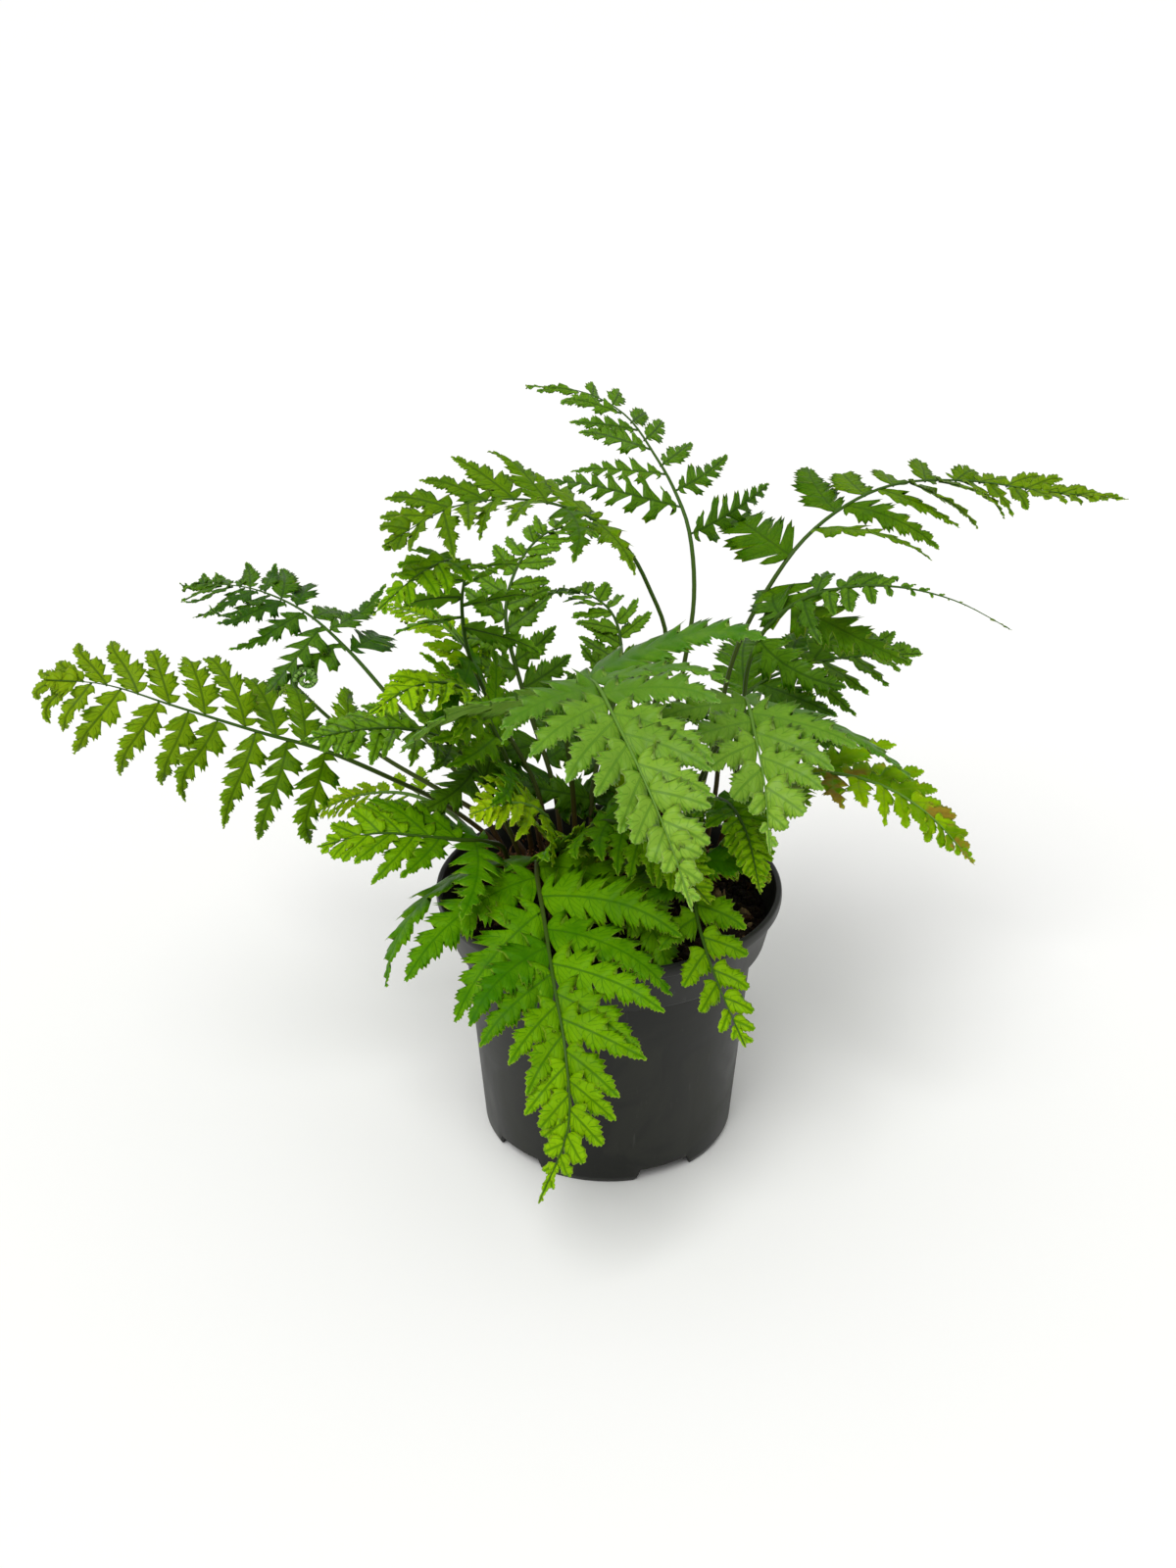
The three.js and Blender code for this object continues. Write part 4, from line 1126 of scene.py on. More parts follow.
@dataclass
class Frond:
    """A whole frond: a bare stalk, pairs of lobed pinnae that shorten towards the tip, and the uncut end.

    Its number seeds its irregularities. A span is the stretch over which a thing sets in, and a size without
    a unit is a share of the length, the reach or the half width that it goes with.
    """

    plan: FrondPlan
    number: int

    # The stalk, which thins out over two stretches of the midrib, and its foot in the soil.
    stalk_foot_half: float = 1.05
    stalk_tip_half: float = 0.6
    stalk_slim: float = 0.92
    stalk_thins: Pair = (0.3, 0.45)
    stalk_thinning: tuple = ((-0.1, 0.75), (0.65, 1.0))
    stalk_end: float = 0.995
    stalk_rings: int = 48
    stalk_sides: int = 10
    groove: float = 0.28
    sunk_mm: float = 4.0

    # The rib under each pinna.
    rib_rings: int = 14
    rib_sides: int = 6
    rib_end: float = 0.93
    rib_half: Pair = (0.42, 0.14)
    rib_below_mm: float = 0.24
    rib_below: float = 0.8
    rib_tone: Pair = (0.75, 0.25)

    # How close the pinnae stand, how they shorten, and how much they vary.
    closer: float = 1.1
    pitch_range: Pair = (0.25, 0.31)
    least_gap: Pair = (0.16, 0.1)
    least_span: Pair = (0.5, 0.98)
    end_share: float = 0.965
    end_fan_deg: float = 40.0
    end_span: Pair = (0.7, 1.0)
    blunt_share: float = 0.25
    bluntness: float = 0.5
    base_span: Pair = (0.0, 0.2)
    stray_gap: float = 0.06
    stray_fan: float = 4.0
    vary_length: Pair = (0.9, 1.08)
    most_blight: float = 1.3

    # The single blade at the tip.
    tip_share: float = 0.9
    tip_end: float = 0.99
    tip_half: float = 0.3
    tip_taper: float = 0.6
    tip_lobes: int = 2
    tip_tone: float = 0.6

    # The papery scales round the foot.
    scales: int = 16
    scale_rise_mm: Pair = (1.0, 15.0)
    scale_crowding: float = 1.6
    scale_root: float = 0.8
    scale_out: Pair = (0.3, 1.2)
    scale_up: Pair = (0.4, 1.0)
    scale_mm: Pair = (1.6, 3.4)
    scale_half: float = 0.45

    def __post_init__(self) -> None:
        """Lays the midrib, and works out how close the pinnae stand."""
        plan = self.plan
        self.midrib = Midrib(plan.root, plan.route, plan.facing, plan.stalk)
        self.rng = np.random.default_rng(self.number)
        self.skin = Skin("vein", "tone")
        self.paleness = 1.0 if plan.green in (Green.LIGHT, Green.YOUNG) else 0.0
        self.start = plan.stalk - plan.clothed
        self.blade = (1.0 - self.start) * self.midrib.length
        gap = (1.0 - plan.stalk) * self.midrib.length * (1.0 - plan.uncut) / plan.pairs
        self.pitch = float(np.clip(gap / plan.reach / self.closer, *self.pitch_range))

    def stalk_half(self, share: np.ndarray) -> np.ndarray:
        """Gives the stalk's half width.

        Args:
            share: Shares of the midrib.

        Returns:
            The half width at each.
        """
        even = lerp(self.stalk_foot_half, self.stalk_tip_half, share) * self.stalk_slim
        (ahead, middle), last = self.stalk_thinning
        first = self.stalk_thins[0] * smooth(share, self.plan.stalk + ahead, middle)
        return even * (1.0 - first - self.stalk_thins[1] * smooth(share, *last))

    def grow_stalk(self) -> None:
        """Adds the stalk from under the soil to the frond's tip."""
        share = np.linspace(0.0, self.stalk_end, self.stalk_rings)
        places = self.midrib.places(share)
        foot = self.midrib.foot - UP * self.sunk_mm
        places.point = np.vstack([foot, places.point])
        places.along = np.vstack([UP, places.along])
        places.across = np.vstack([places.across[:1], places.across])
        places.up = np.vstack([places.up[:1], places.up])
        half = self.stalk_half(np.concatenate([[0.0], share]))
        rings = places.rings(half, self.stalk_sides, Places.TOP, self.groove)
        tone = np.zeros(rings.shape)
        tone[..., 0] = self.paleness
        tone[..., 1] = np.concatenate([[0.0], share])[:, None]
        self.skin.tube(rings[:, ::-1], finish=STALK, tone=tone)

    def grow_pinna(self, share: float, side: int, length: float, angle: float, gap: float) -> None:
        """Adds one pinna with its short stem and rib.

        Args:
            share: Where on the midrib it grows.
            side: 1 for the right, and -1 for the left.
            length: Its length.
            angle: The angle in radians that it leaves the midrib at.
            gap: How far the next one on this side is.
        """
        lace = self.plan.lace
        place = self.midrib.places(np.array([share])).one(0)
        rib = PinnaRib(self.plan, place, side, length, angle, self.rng)
        lobes = FORM.lobes(length, lace)
        crowd = 1.0 - (1.0 - np.linspace(0.0, 1.0, lobes * FORM.columns + 1)) ** FORM.crowding
        grown = float(smooth(length, *FORM.grown_mm))
        stem = FORM.stem_mm * float(smooth(lace, *FORM.stem_lace)) * grown
        reached = lerp(stem, length * FORM.end, crowd)
        widest = max(lerp(*FORM.width, lace) * length, min(FORM.least_width * gap, FORM.most_width * length))
        grows, deepens = (float(smooth(length, *span)) for span in (FORM.whole_mm, FORM.deep_mm))
        whole = 1.0 - grows - FORM.deeper * deepens
        left = 1.0 - np.clip(reached / length, 0.0, FORM.taper_end)
        outline = self.plan.breadth * widest * left ** lerp(*FORM.taper, max(whole, 0.0))
        wedge = lerp(*FORM.wedge, lace) * length + FORM.wedge_mm
        first = lerp(*FORM.wedge_width, lace * grown)
        outline = outline * lerp(first, 1.0, smooth(reached - stem, -FORM.wedge_mm, wedge))
        own_tone = self.rng.uniform(0.0, 1.0)
        sickness = self.plan.blight * self.rng.uniform(0.0, self.most_blight)
        # The young tint runs up the frond. On the inner fronds it is above 1, which is painted light: the
        # glow of leaves lit through from behind.
        tone = np.array([own_tone, share * self.plan.young_tint_and_glow, sickness])
        blade = Lamina(rib.places(reached), reached, outline, float(side), whole)
        blade.add_to(self.skin, lobes, lace, tone, self.rng)
        if grown > 0.0:
            self.grow_rib(rib, tone)

    def grow_rib(self, rib: PinnaRib, tone: np.ndarray) -> None:
        """Adds the thin rib that carries a pinna's blade, proud of its underside.

        Args:
            rib: The line of the rib.
            tone: The tone mark of its blade.
        """
        distance = np.linspace(0.0, rib.length * self.rib_end, self.rib_rings)
        here = rib.places(distance)
        half = lerp(*self.rib_half, distance / rib.length)
        here.point = here.point - here.up * (self.rib_below_mm + self.rib_below * half)[:, None]
        rings = here.rings(half, self.rib_sides, Places.TOP)
        side_turn = np.sign(dot(np.cross(here.along[:1], here.across[:1]), here.up[:1]))[0, 0]
        tones = np.zeros(rings.shape)
        tones[..., 0] = self.paleness
        tones[..., 1] = self.rib_tone[0] + self.rib_tone[1] * tone[0]
        self.skin.tube(rings if side_turn > 0 else rings[:, ::-1], finish=STALK, tone=tones)

    def pinna_length(self, s: float) -> float:
        """Gives the length of the pinnae. The basal ones are longer, and the end is blunt.

        Args:
            s: The share of the blade that they grow at.

        Returns:
            Their length in millimetres.
        """
        plan = self.plan
        natural = plan.reach * plan.fuller * (1.0 - s) ** plan.taper
        blunt = min((1.0 - s) / self.blunt_share, 1.0) ** max(self.bluntness * (1.0 - plan.taper), 0.0)
        return natural * blunt * (1.0 + plan.base_gain * (1.0 - float(smooth(s, *self.base_span))))

    def grow_blade(self) -> None:
        """Adds the pinnae, which shorten and crowd towards the tip until they are the lobes of its end."""
        plan = self.plan
        s = 0.0
        while s < self.end_share:
            length = self.pinna_length(s)
            least = plan.reach * lerp(*self.least_gap, float(smooth(s, *self.least_span)))
            gap_mm = plan.spacing * max(self.pitch * length, least)
            gap = gap_mm / self.blade
            for side in (-1, 1):
                stray = plan.unruly * self.rng.uniform(-self.stray_gap, self.stray_gap)
                here = s - side * FORM.stagger * gap + stray * gap
                fan = lerp(*plan.fan, min(s / (1.0 - plan.uncut), 1.0))
                fan = lerp(fan, self.end_fan_deg, float(smooth(s, *self.end_span)))
                angle = math.radians(fan + plan.unruly * self.rng.uniform(-self.stray_fan, self.stray_fan))
                share = lerp(self.start, 1.0, here)
                self.grow_pinna(share, side, length * self.rng.uniform(*self.vary_length), angle, gap_mm)
            s += gap
        self.grow_tip()

    def grow_tip(self) -> None:
        """Adds the single blade at the frond's very tip."""
        neck = lerp(self.start, 1.0, self.tip_share)
        length = (1.0 - neck) * self.midrib.length
        t = np.linspace(0.0, self.tip_end, self.tip_lobes * FORM.columns + 1)
        here = self.midrib.places(lerp(neck, 1.0, t))
        here.across = -here.across
        half = self.tip_half * self.pinna_length(self.tip_share) * (1.0 - t) ** self.tip_taper
        # The young tint, above 1 on the inner fronds, is partly painted light: the glow of leaves lit through
        # from behind.
        tone = np.array([self.tip_tone, self.plan.young_tint_and_glow, self.plan.blight])
        Lamina(here, t * length, half, 1.0).add_to(self.skin, self.tip_lobes, 0.0, tone, self.rng)

    def grow_scales(self) -> None:
        """Adds the papery scales round the stalk's foot."""
        rng, count = self.rng, self.scales
        lowest, spread = self.scale_rise_mm
        share = rng.uniform(0.0, 1.0, count)
        rise = self.midrib.ROOT_Z + lowest + share ** self.scale_crowding * spread
        turn = rng.uniform(0.0, 2 * np.pi, count)
        out = np.stack([np.cos(turn), np.sin(turn), np.zeros(count)], axis=-1)
        middle = np.column_stack([np.tile(self.midrib.foot[:2], (count, 1)), rise])
        root = middle + out * self.stalk_foot_half * self.scale_root
        outward = rng.uniform(*self.scale_out, (count, 1))
        lean = unit(out * outward + UP * rng.uniform(*self.scale_up, (count, 1)))
        add_scales(self.skin, root, lean, rng.uniform(*self.scale_mm, count), self.scale_half, SCALE)

    def build(self, materials: list[Material]) -> Object:
        """Builds the frond.

        Args:
            materials: The leaf's, the stalk's and the scales' material.

        Returns:
            The frond's piece.
        """
        self.grow_stalk()
        self.grow_blade()
        self.grow_scales()
        return self.skin.piece(f"{self.plan.name}_leaf", materials)


def add_scales(
    skin: Skin, root: np.ndarray, lean: np.ndarray, length: np.ndarray, half: float, finish: int,
) -> None:
    """Adds thin pointed scales, each a flat closed blade.

    Args:
        skin: The skin to add them to.
        root: Where each grows.
        lean: The direction that each points in.
        length: The length of each.
        half: Their half width.
        finish: The number of their material on the piece.
    """
    sideways = unit(np.cross(lean, UP + SCALE_TILT))
    outward = np.cross(sideways, lean)
    bow = outward * (SCALE_BOW * length)[:, None]
    middle = root + lean * (SCALE_WIDEST * length)[:, None]
    thick = outward * SCALE_HALF_THICK
    corners = [
        root, middle + sideways * half + bow, root + lean * length[:, None], middle - sideways * half + bow,
        middle + bow + thick, middle + bow - thick,
    ]
    numbers = skin.add(np.stack(corners, axis=1), tone=np.array([SCALE_TONE, 0.0, 0.0]))
    for a, b in ((0, 1), (1, 2), (2, 3), (3, 0)):
        skin.face(numbers[:, [a, b, 4]], finish=finish)
        skin.face(numbers[:, [b, a, 5]], finish=finish)


@dataclass
class Crozier:
    """A young frond that is still coiled at its tip, with its folded pinnae as small knobs."""

    root: Pair = (-38, 27)
    route: tuple = ((-45, 31, 104), (-60, 36, 112), (-80, 38, 124), (-98, 37, 139), (-110, 35, 153))
    coil_radius: float = 4.6
    coil_turns: float = 1.3
    coil_closes: float = 0.65
    coil_half: float = 0.75
    coil_rings: int = 40
    stem_rings: int = 40
    knobs: int = 34
    knob_aside: float = 0.9
    knob_inward: float = 0.25
    knob_size: Pair = (0.6, 1.15)
    knob_rough: float = 0.18
    knob_tone: tuple[float, float, float] = (0.4, 0.4, 0.0)
    seed: int = 77

    def build(self, materials: list[Material]) -> Object:
        """Builds the coiled frond.

        Args:
            materials: The leaf's, the stalk's and the scales' material.

        Returns:
            The frond's piece.
        """
        rng = np.random.default_rng(self.seed)
        skin = Skin("vein", "tone")
        midrib = Midrib(self.root, self.route, (0, 0, 1), 1.0)
        share = np.linspace(0.0, 1.0, self.stem_rings)
        stem = midrib.places(share)
        last = stem.one(-1)
        t = np.linspace(0.0, 1.0, self.coil_rings + 1)[1:, None]
        inward = turned(last.up, last.along, -t * self.coil_turns * 2 * np.pi)
        closing = 1 - self.coil_closes * t
        coil = last.point + last.up * self.coil_radius - inward * self.coil_radius * closing
        point = np.vstack([midrib.foot - UP * Frond.sunk_mm, stem.point, coil])
        across = np.vstack([stem.across[:1], stem.across, np.tile(last.across, (self.coil_rings, 1))])
        up = np.vstack([stem.up[:1], stem.up, inward])
        half = np.concatenate([
            [Frond.stalk_foot_half],
            lerp(Frond.stalk_foot_half, Frond.stalk_tip_half, share),
            np.full(self.coil_rings, self.coil_half),
        ])
        rings = Places(point, np.zeros_like(point), across, up).rings(half, Frond.stalk_sides)
        tone = np.zeros(rings.shape)
        tone[..., 1] = np.linspace(0.0, 1.0, len(rings))[:, None]
        skin.tube(rings[:, ::-1], finish=STALK, tone=tone)
        picks = np.linspace(2, self.coil_rings - 1, self.knobs).astype(int)
        sides = np.where(np.arange(self.knobs) % 2 == 0, 1.0, -1.0)[:, None]
        centre = coil[picks] + last.across * sides * self.knob_aside + inward[picks] * self.knob_inward
        size = rng.uniform(*self.knob_size, (self.knobs, 1)) * np.ones(3)
        add_lumps(skin, centre, size, rng, self.knob_rough, np.array(self.knob_tone), LEAF)
        return skin.piece("frond_coiled_crozier", materials)


def icosahedron() -> tuple[np.ndarray, np.ndarray]:
    """Makes an icosahedron of radius 1.

    Returns:
        Its corners, and the corners' numbers of each face, counter-clockwise as seen from outside.
    """
    golden = (1 + 5 ** 0.5) / 2
    slack = 1.1
    corners = []
    for a in (-1, 1):
        for b in (-golden, golden):
            corners += [(a, b, 0), (0, a, b), (b, 0, a)]
    corners = unit(np.array(corners, dtype=float))
    edge = min(np.linalg.norm(corners[0] - other) for other in corners[1:])
    near = np.linalg.norm(corners[:, None] - corners[None], axis=-1) < edge * slack
    faces = []
    for i, j, k in combinations(range(len(corners)), 3):
        if near[i, j] and near[j, k] and near[i, k]:
            normal = np.cross(corners[j] - corners[i], corners[k] - corners[i])
            faces.append((i, j, k) if np.dot(normal, corners[i]) > 0 else (i, k, j))
    return corners, np.array(faces)


def random_turns(count: int, rng: Generator) -> np.ndarray:
    """Makes random rotation matrices.

    Args:
        count: How many.
        rng: Their source.

    Returns:
        The matrices.
    """
    w, x, y, z = unit(rng.normal(size=(count, 4))).T
    rows = [
        [1 - 2 * (y * y + z * z), 2 * (x * y - w * z), 2 * (x * z + w * y)],
        [2 * (x * y + w * z), 1 - 2 * (x * x + z * z), 2 * (y * z - w * x)],
        [2 * (x * z - w * y), 2 * (y * z + w * x), 1 - 2 * (x * x + y * y)],
    ]
    return np.array(rows).transpose(2, 0, 1)


def add_lumps(
    skin: Skin, centre: np.ndarray, size: np.ndarray, rng: Generator, rough: float,
    tone: np.ndarray, finish: int = 0,
) -> None:
    """Adds irregular lumps.

    Args:
        skin: The skin to add them to.
        centre: The middle of each.
        size: The half sizes of each along three axes.
        rng: The source of their turns and dents.
        rough: How deep the dents are, as a share of the size.
        tone: Their tone mark, one for all or one for each.
        finish: The number of their material on the piece.
    """
    corners, faces = icosahedron()
    count = len(centre)
    shape = corners[None] * (1 + rng.uniform(-rough, rough, (count, len(corners), 1))) * size[:, None]
    points = np.einsum("nij,nvj->nvi", random_turns(count, rng), shape) + centre[:, None]
    tones = np.broadcast_to(tone, (count, 3))[:, None] * np.ones((1, len(corners), 1))
    numbers = skin.add(points, tone=tones)
    skin.face(numbers[:, faces].reshape(-1, 3), finish=finish)


@dataclass(frozen=True)
class EarthFinish:
    """Loose plant matter, such as peat, bark or a rhizome's scales: matt, fibrous and speckled."""

    name: str
    dark: str
    middle: str
    pale: str
    grain_mm: float
    roughness: float = 0.95
    gleam: float = 0.25
    tone_share: float = 0.8
    middle_range: Pair = (0.4, 0.85)
    pale_range: Pair = (0.87, 1.35)
    relief_mm: float = 0.5
    relief_share: float = 0.8

    def material(self) -> Material:
        """Makes the material. The tone mark's x moves a bit from dark to pale.

        Returns:
            The new material.
        """
        material, add = start_material(self.name)
        tone = add("Attribute", attribute_name="tone").outputs["Vector"]
        tones = add("SeparateXYZ", links={0: tone})
        where = add("TexCoord").outputs["Object"]
        grain = add(
            "TexNoise",
            {"Scale": 1.0 / (self.grain_mm * MM), "Detail": 5.0, "Roughness": 0.65},
            {"Vector": where},
        )
        level = add("Math", {1: self.tone_share}, {0: tones.outputs[0], 2: grain}, operation="MULTIPLY_ADD")
        middle, pale = (
            add("MapRange", {"From Min": low, "From Max": high}, {0: level})
            for low, high in (self.middle_range, self.pale_range)
        )
        earth = add(
            "Mix", {FIRST: linear(self.dark), SECOND: linear(self.middle)},
            {SHARE: middle}, data_type="RGBA",
        )
        body = add(
            "Mix", {SECOND: linear(self.pale)},
            {SHARE: pale, FIRST: earth.outputs[MIXED]}, data_type="RGBA",
        )
        bump = add(
            "Bump", {"Strength": self.relief_share, "Distance": self.relief_mm * MM}, {"Height": grain},
        )
        surface = add(
            "BsdfPrincipled", {"Roughness": self.roughness, "Specular IOR Level": self.gleam},
            {"Base Color": body.outputs[MIXED], "Normal": bump},
        )
        add("OutputMaterial", links={0: surface})
        return material


@dataclass(frozen=True)
class PotFinish:
    """Injection-moulded black polypropylene, as used for nursery pots.

    It has a satin skin, grey rather than black in soft light, with faint cloudy flow marks and scuffs.
    """

    name: str = "polypropylene_moulded_black"
    body: str = "#1e1f1c"
    cloud: str = "#282924"
    scuff: str = "#43433e"
    roughness: float = 0.42
    gleam: float = 0.22
    ior: float = 1.49
    cloud_mm: float = 28.0
    cloud_range: Pair = (0.4, 0.65)
    scuff_mm: float = 1.6
    scuff_range: Pair = (0.66, 0.8)
    scuff_share: float = 0.45
    scuff_squash: float = 0.12
    grain_mm: float = 0.35
    grain_relief: Pair = (0.12, 0.08)
    wave_relief: Pair = (0.3, 0.5)
    gloss_range: Pair = (0.3, 0.7)
    gloss_spread: Pair = (-0.07, 0.12)

    def material(self) -> Material:
        """Makes the material of the pot. A relief is its strength and its height in millimetres.

        Returns:
            The new material.
        """
        material, add = start_material(self.name)
        where = add("TexCoord").outputs["Object"]
        cloud = add(
            "TexNoise",
            {"Scale": 1.0 / (self.cloud_mm * MM), "Detail": 4.0, "Distortion": 1.2},
            {"Vector": where},
        )
        stretch = add("Mapping", {"Scale": (1.0, 1.0, self.scuff_squash)}, {"Vector": where})
        scuff = add("TexNoise", {"Scale": 1.0 / (self.scuff_mm * MM), "Detail": 3.0}, {"Vector": stretch})
        grain = add("TexNoise", {"Scale": 1.0 / (self.grain_mm * MM), "Detail": 1.0}, {"Vector": where})
        clouds = add(
            "MapRange", {"From Min": self.cloud_range[0], "From Max": self.cloud_range[1]},
            {0: cloud}, interpolation_type="SMOOTHSTEP",
        )
        scuffs = add(
            "MapRange",
            {"From Min": self.scuff_range[0], "From Max": self.scuff_range[1], "To Max": self.scuff_share},
            {0: scuff},
        )
        clouded = add(
            "Mix", {FIRST: linear(self.body), SECOND: linear(self.cloud)},
            {SHARE: clouds}, data_type="RGBA",
        )
        body = add(
            "Mix", {SECOND: linear(self.scuff)},
            {SHARE: scuffs, FIRST: clouded.outputs[MIXED]}, data_type="RGBA",
        )
        low, high = (self.roughness + more for more in self.gloss_spread)
        gloss = add(
            "MapRange",
            {"From Min": self.gloss_range[0], "From Max": self.gloss_range[1], "To Min": low, "To Max": high},
            {0: cloud},
        )
        fine = add(
            "Bump", {"Strength": self.grain_relief[0], "Distance": self.grain_relief[1] * MM},
            {"Height": grain},
        )
        wavy = add(
            "Bump", {"Strength": self.wave_relief[0], "Distance": self.wave_relief[1] * MM},
            {"Height": cloud, "Normal": fine},
        )
        surface = add(
            "BsdfPrincipled", {"IOR": self.ior, "Specular IOR Level": self.gleam},
            {"Base Color": body.outputs[MIXED], "Roughness": gloss, "Normal": wavy},
        )
        add("OutputMaterial", links={0: surface})
        return material


@dataclass
class NurseryPot:
    """A round nursery pot: a thin moulded shell with a lip, a stacking collar and a notched foot ring."""

    rim_radius: float = 60.0
    height: float = 96.0
    wall: float = 1.3
    lip_height: float = 4.4
    lip_overhang: float = 2.0
    lip_thickness: float = 2.0
    lip_bulge: float = 0.3
    lip_bulge_z: float = 1.8
    lip_slant: float = 0.2
    collar_bottom_radius: float = 54.6
    collar_bottom_z: float = 77.0
    ledge_fall: float = 0.8
    body_top_radius: float = 50.6
    foot_radius: float = 44.8
    foot_chamfer: float = 1.3
    foot_chamfer_z: float = 2.4
    foot_wall: Pair = (2.3, 2.1)
    straight_z: float = 7.0
    disc_radius: float = 34.0
    disc_slant: float = 0.4
    channel_z: float = 5.5
    notches: int = 5
    first_notch_deg: float = 225.0
    notch_half: float = 11.0
    notch_slant: float = 1.6
    notch_height: float = 5.0
    notch_starts: float = 3.0
    drain_radius: float = 3.4
    drain_z: Pair = (3.0, 9.0)
    drain_sides: int = 28
    sectors: int = 240
    arc_points: int = 5
    sharp_deg: float = 35.0

    def body_radius(self, z: float) -> float:
        """The outer radius of the body at a height."""
        slope = (self.body_top_radius - self.foot_radius) / (self.collar_bottom_z - self.foot_chamfer_z)
        return self.foot_radius + (z - self.foot_chamfer_z) * slope

    def collar_radius(self, z: float) -> float:
        """Gives the outer radius of the collar.

        Args:
            z: The height.

        Returns:
            The radius at that height.
        """
        widens = self.rim_radius - self.lip_overhang - self.collar_bottom_radius
        rise = self.height - self.lip_height - self.collar_bottom_z
        return self.collar_bottom_radius + (z - self.collar_bottom_z) * widens / rise

    def outline(self) -> np.ndarray:
        """Draws the turned outline, from the floor's middle out and up, and back down inside.

        Returns:
            Its points as [radius, height] pairs.
        """
        lip_z = self.height - self.lip_height
        lip_inner = self.rim_radius - self.lip_overhang
        floor_z = self.channel_z + self.wall
        ledge_z = self.collar_bottom_z + self.wall
        # Each corner is its radius, its height, and how far from it the rounding starts.
        corners = [
            (0.0, 0.0, 0.0),
            (self.disc_radius, 0.0, 0.6),
            (self.disc_radius + self.disc_slant, self.channel_z, 0.6),
            (self.foot_radius - self.foot_wall[1], self.channel_z, 0.3),
            (self.foot_radius - self.foot_wall[0], 0.0, 0.3),
            (self.foot_radius - self.foot_chamfer, 0.0, 0.3),
            (self.foot_radius, self.foot_chamfer_z, 0.8),
            (self.body_radius(self.straight_z), self.straight_z, 0.0),
            (self.body_top_radius, self.collar_bottom_z - self.ledge_fall, 1.2),
            (self.collar_bottom_radius, self.collar_bottom_z, 1.0),
            (lip_inner, lip_z, 0.5),
            (self.rim_radius - self.lip_bulge, lip_z + self.lip_bulge, 0.5),
            (self.rim_radius, lip_z + self.lip_bulge_z, 0.6),
            (self.rim_radius - self.lip_slant, self.height, 0.9),
            (self.rim_radius - self.lip_thickness, self.height, 0.7),
            (lip_inner - self.wall, lip_z, 1.2),
            (self.collar_radius(ledge_z) - self.wall, ledge_z, 0.8),
            (self.body_top_radius - self.wall, ledge_z - self.ledge_fall, 0.8),
            (self.body_radius(floor_z) - self.wall, floor_z, 0.8),
            (self.disc_radius - self.wall + self.disc_slant, floor_z, 0.4),
            (self.disc_radius - self.wall, self.wall, 0.4),
            (0.0, self.wall, 0.0),
        ]
        path = []
        for number, (radius, z, rounding) in enumerate(corners):
            here = np.array([radius, z])
            if rounding == 0.0:
                path.append(here)
                continue
            before = np.array(corners[number - 1][:2]) - here
            after = np.array(corners[number + 1][:2]) - here
            start = here + before / np.linalg.norm(before) * rounding
            end = here + after / np.linalg.norm(after) * rounding
            for t in np.linspace(0.0, 1.0, self.arc_points):
                path.append((1 - t) ** 2 * start + 2 * t * (1 - t) * here + t ** 2 * end)
        return np.array(path)

    def notch_lift(self, radius: np.ndarray, angle: np.ndarray) -> np.ndarray:
        """Gives how high the notches raise the foot ring.

        Args:
            radius: The distances of places from the pot's middle.
            angle: Their angles in radians.

        Returns:
            The height of the ring's underside at each.
        """
        turn = 2 * np.pi / self.notches
        first = math.radians(self.first_notch_deg)
        away = np.abs((angle - first + turn / 2) % turn - turn / 2) * radius
        return self.notch_height * np.clip((self.notch_half - away) / self.notch_slant, 0.0, 1.0)

    def build(self, material: Material) -> Object:
        """Builds the pot with its drain holes.

        Args:
            material: The pot's plastic.

        Returns:
            The pot's piece.
        """
        path = self.outline()
        angle = round_angles(self.sectors)
        radius, z = (path[1:-1, axis][:, None] * np.ones(self.sectors) for axis in (0, 1))
        ring = (radius > self.disc_radius + self.notch_starts) & (z < self.notch_height)
        z = np.where(ring, np.maximum(z, self.notch_lift(radius, angle)), z)
        skin = Skin()
        numbers = skin.add(np.stack([radius * np.cos(angle), radius * np.sin(angle), z], axis=-1))
        skin.band(numbers, flip=True)
        for row, height, flip in ((0, path[0, 1], True), (-1, path[-1, 1], False)):
            hub = skin.add(np.array([[0.0, 0.0, height]]))
            following = np.roll(numbers[row], -1)
            skin.face(np.stack([numbers[row], following, np.full(self.sectors, hub[0])], axis=1), flip=flip)
        pot = skin.piece("pot_shell", [material])
        self.drill(pot)
        pot.data.set_sharp_from_angle(angle=math.radians(self.sharp_deg))
        return pot

    def drill(self, pot: Object) -> None:
        """Cuts the drain holes through the channel's floor.

        Args:
            pot: The pot's piece.
        """
        drill = Skin()
        turn = round_angles(self.drain_sides)
        ring = (self.disc_radius + self.foot_radius - self.wall) / 2
        for number in range(self.notches):
            angle = math.radians(self.first_notch_deg) + number * 2 * np.pi / self.notches
            middle = np.array([ring * math.cos(angle), ring * math.sin(angle), 0.0])
            circle = middle + self.drain_radius * np.stack([np.cos(turn), np.sin(turn), 0 * turn], axis=-1)
            drill.tube(np.stack([circle + UP * z for z in self.drain_z]))
        bits = drill.piece("drill", [])
        cut = pot.modifiers.new("drain_holes", "BOOLEAN")
        cut.object = bits
        cut.solver = "EXACT"
        shape = pot.evaluated_get(bpy.context.evaluated_depsgraph_get())
        mesh = bpy.data.meshes.new_from_object(shape)
        pot.modifiers.clear()
        pot.data = mesh
        bpy.data.objects.remove(bits)


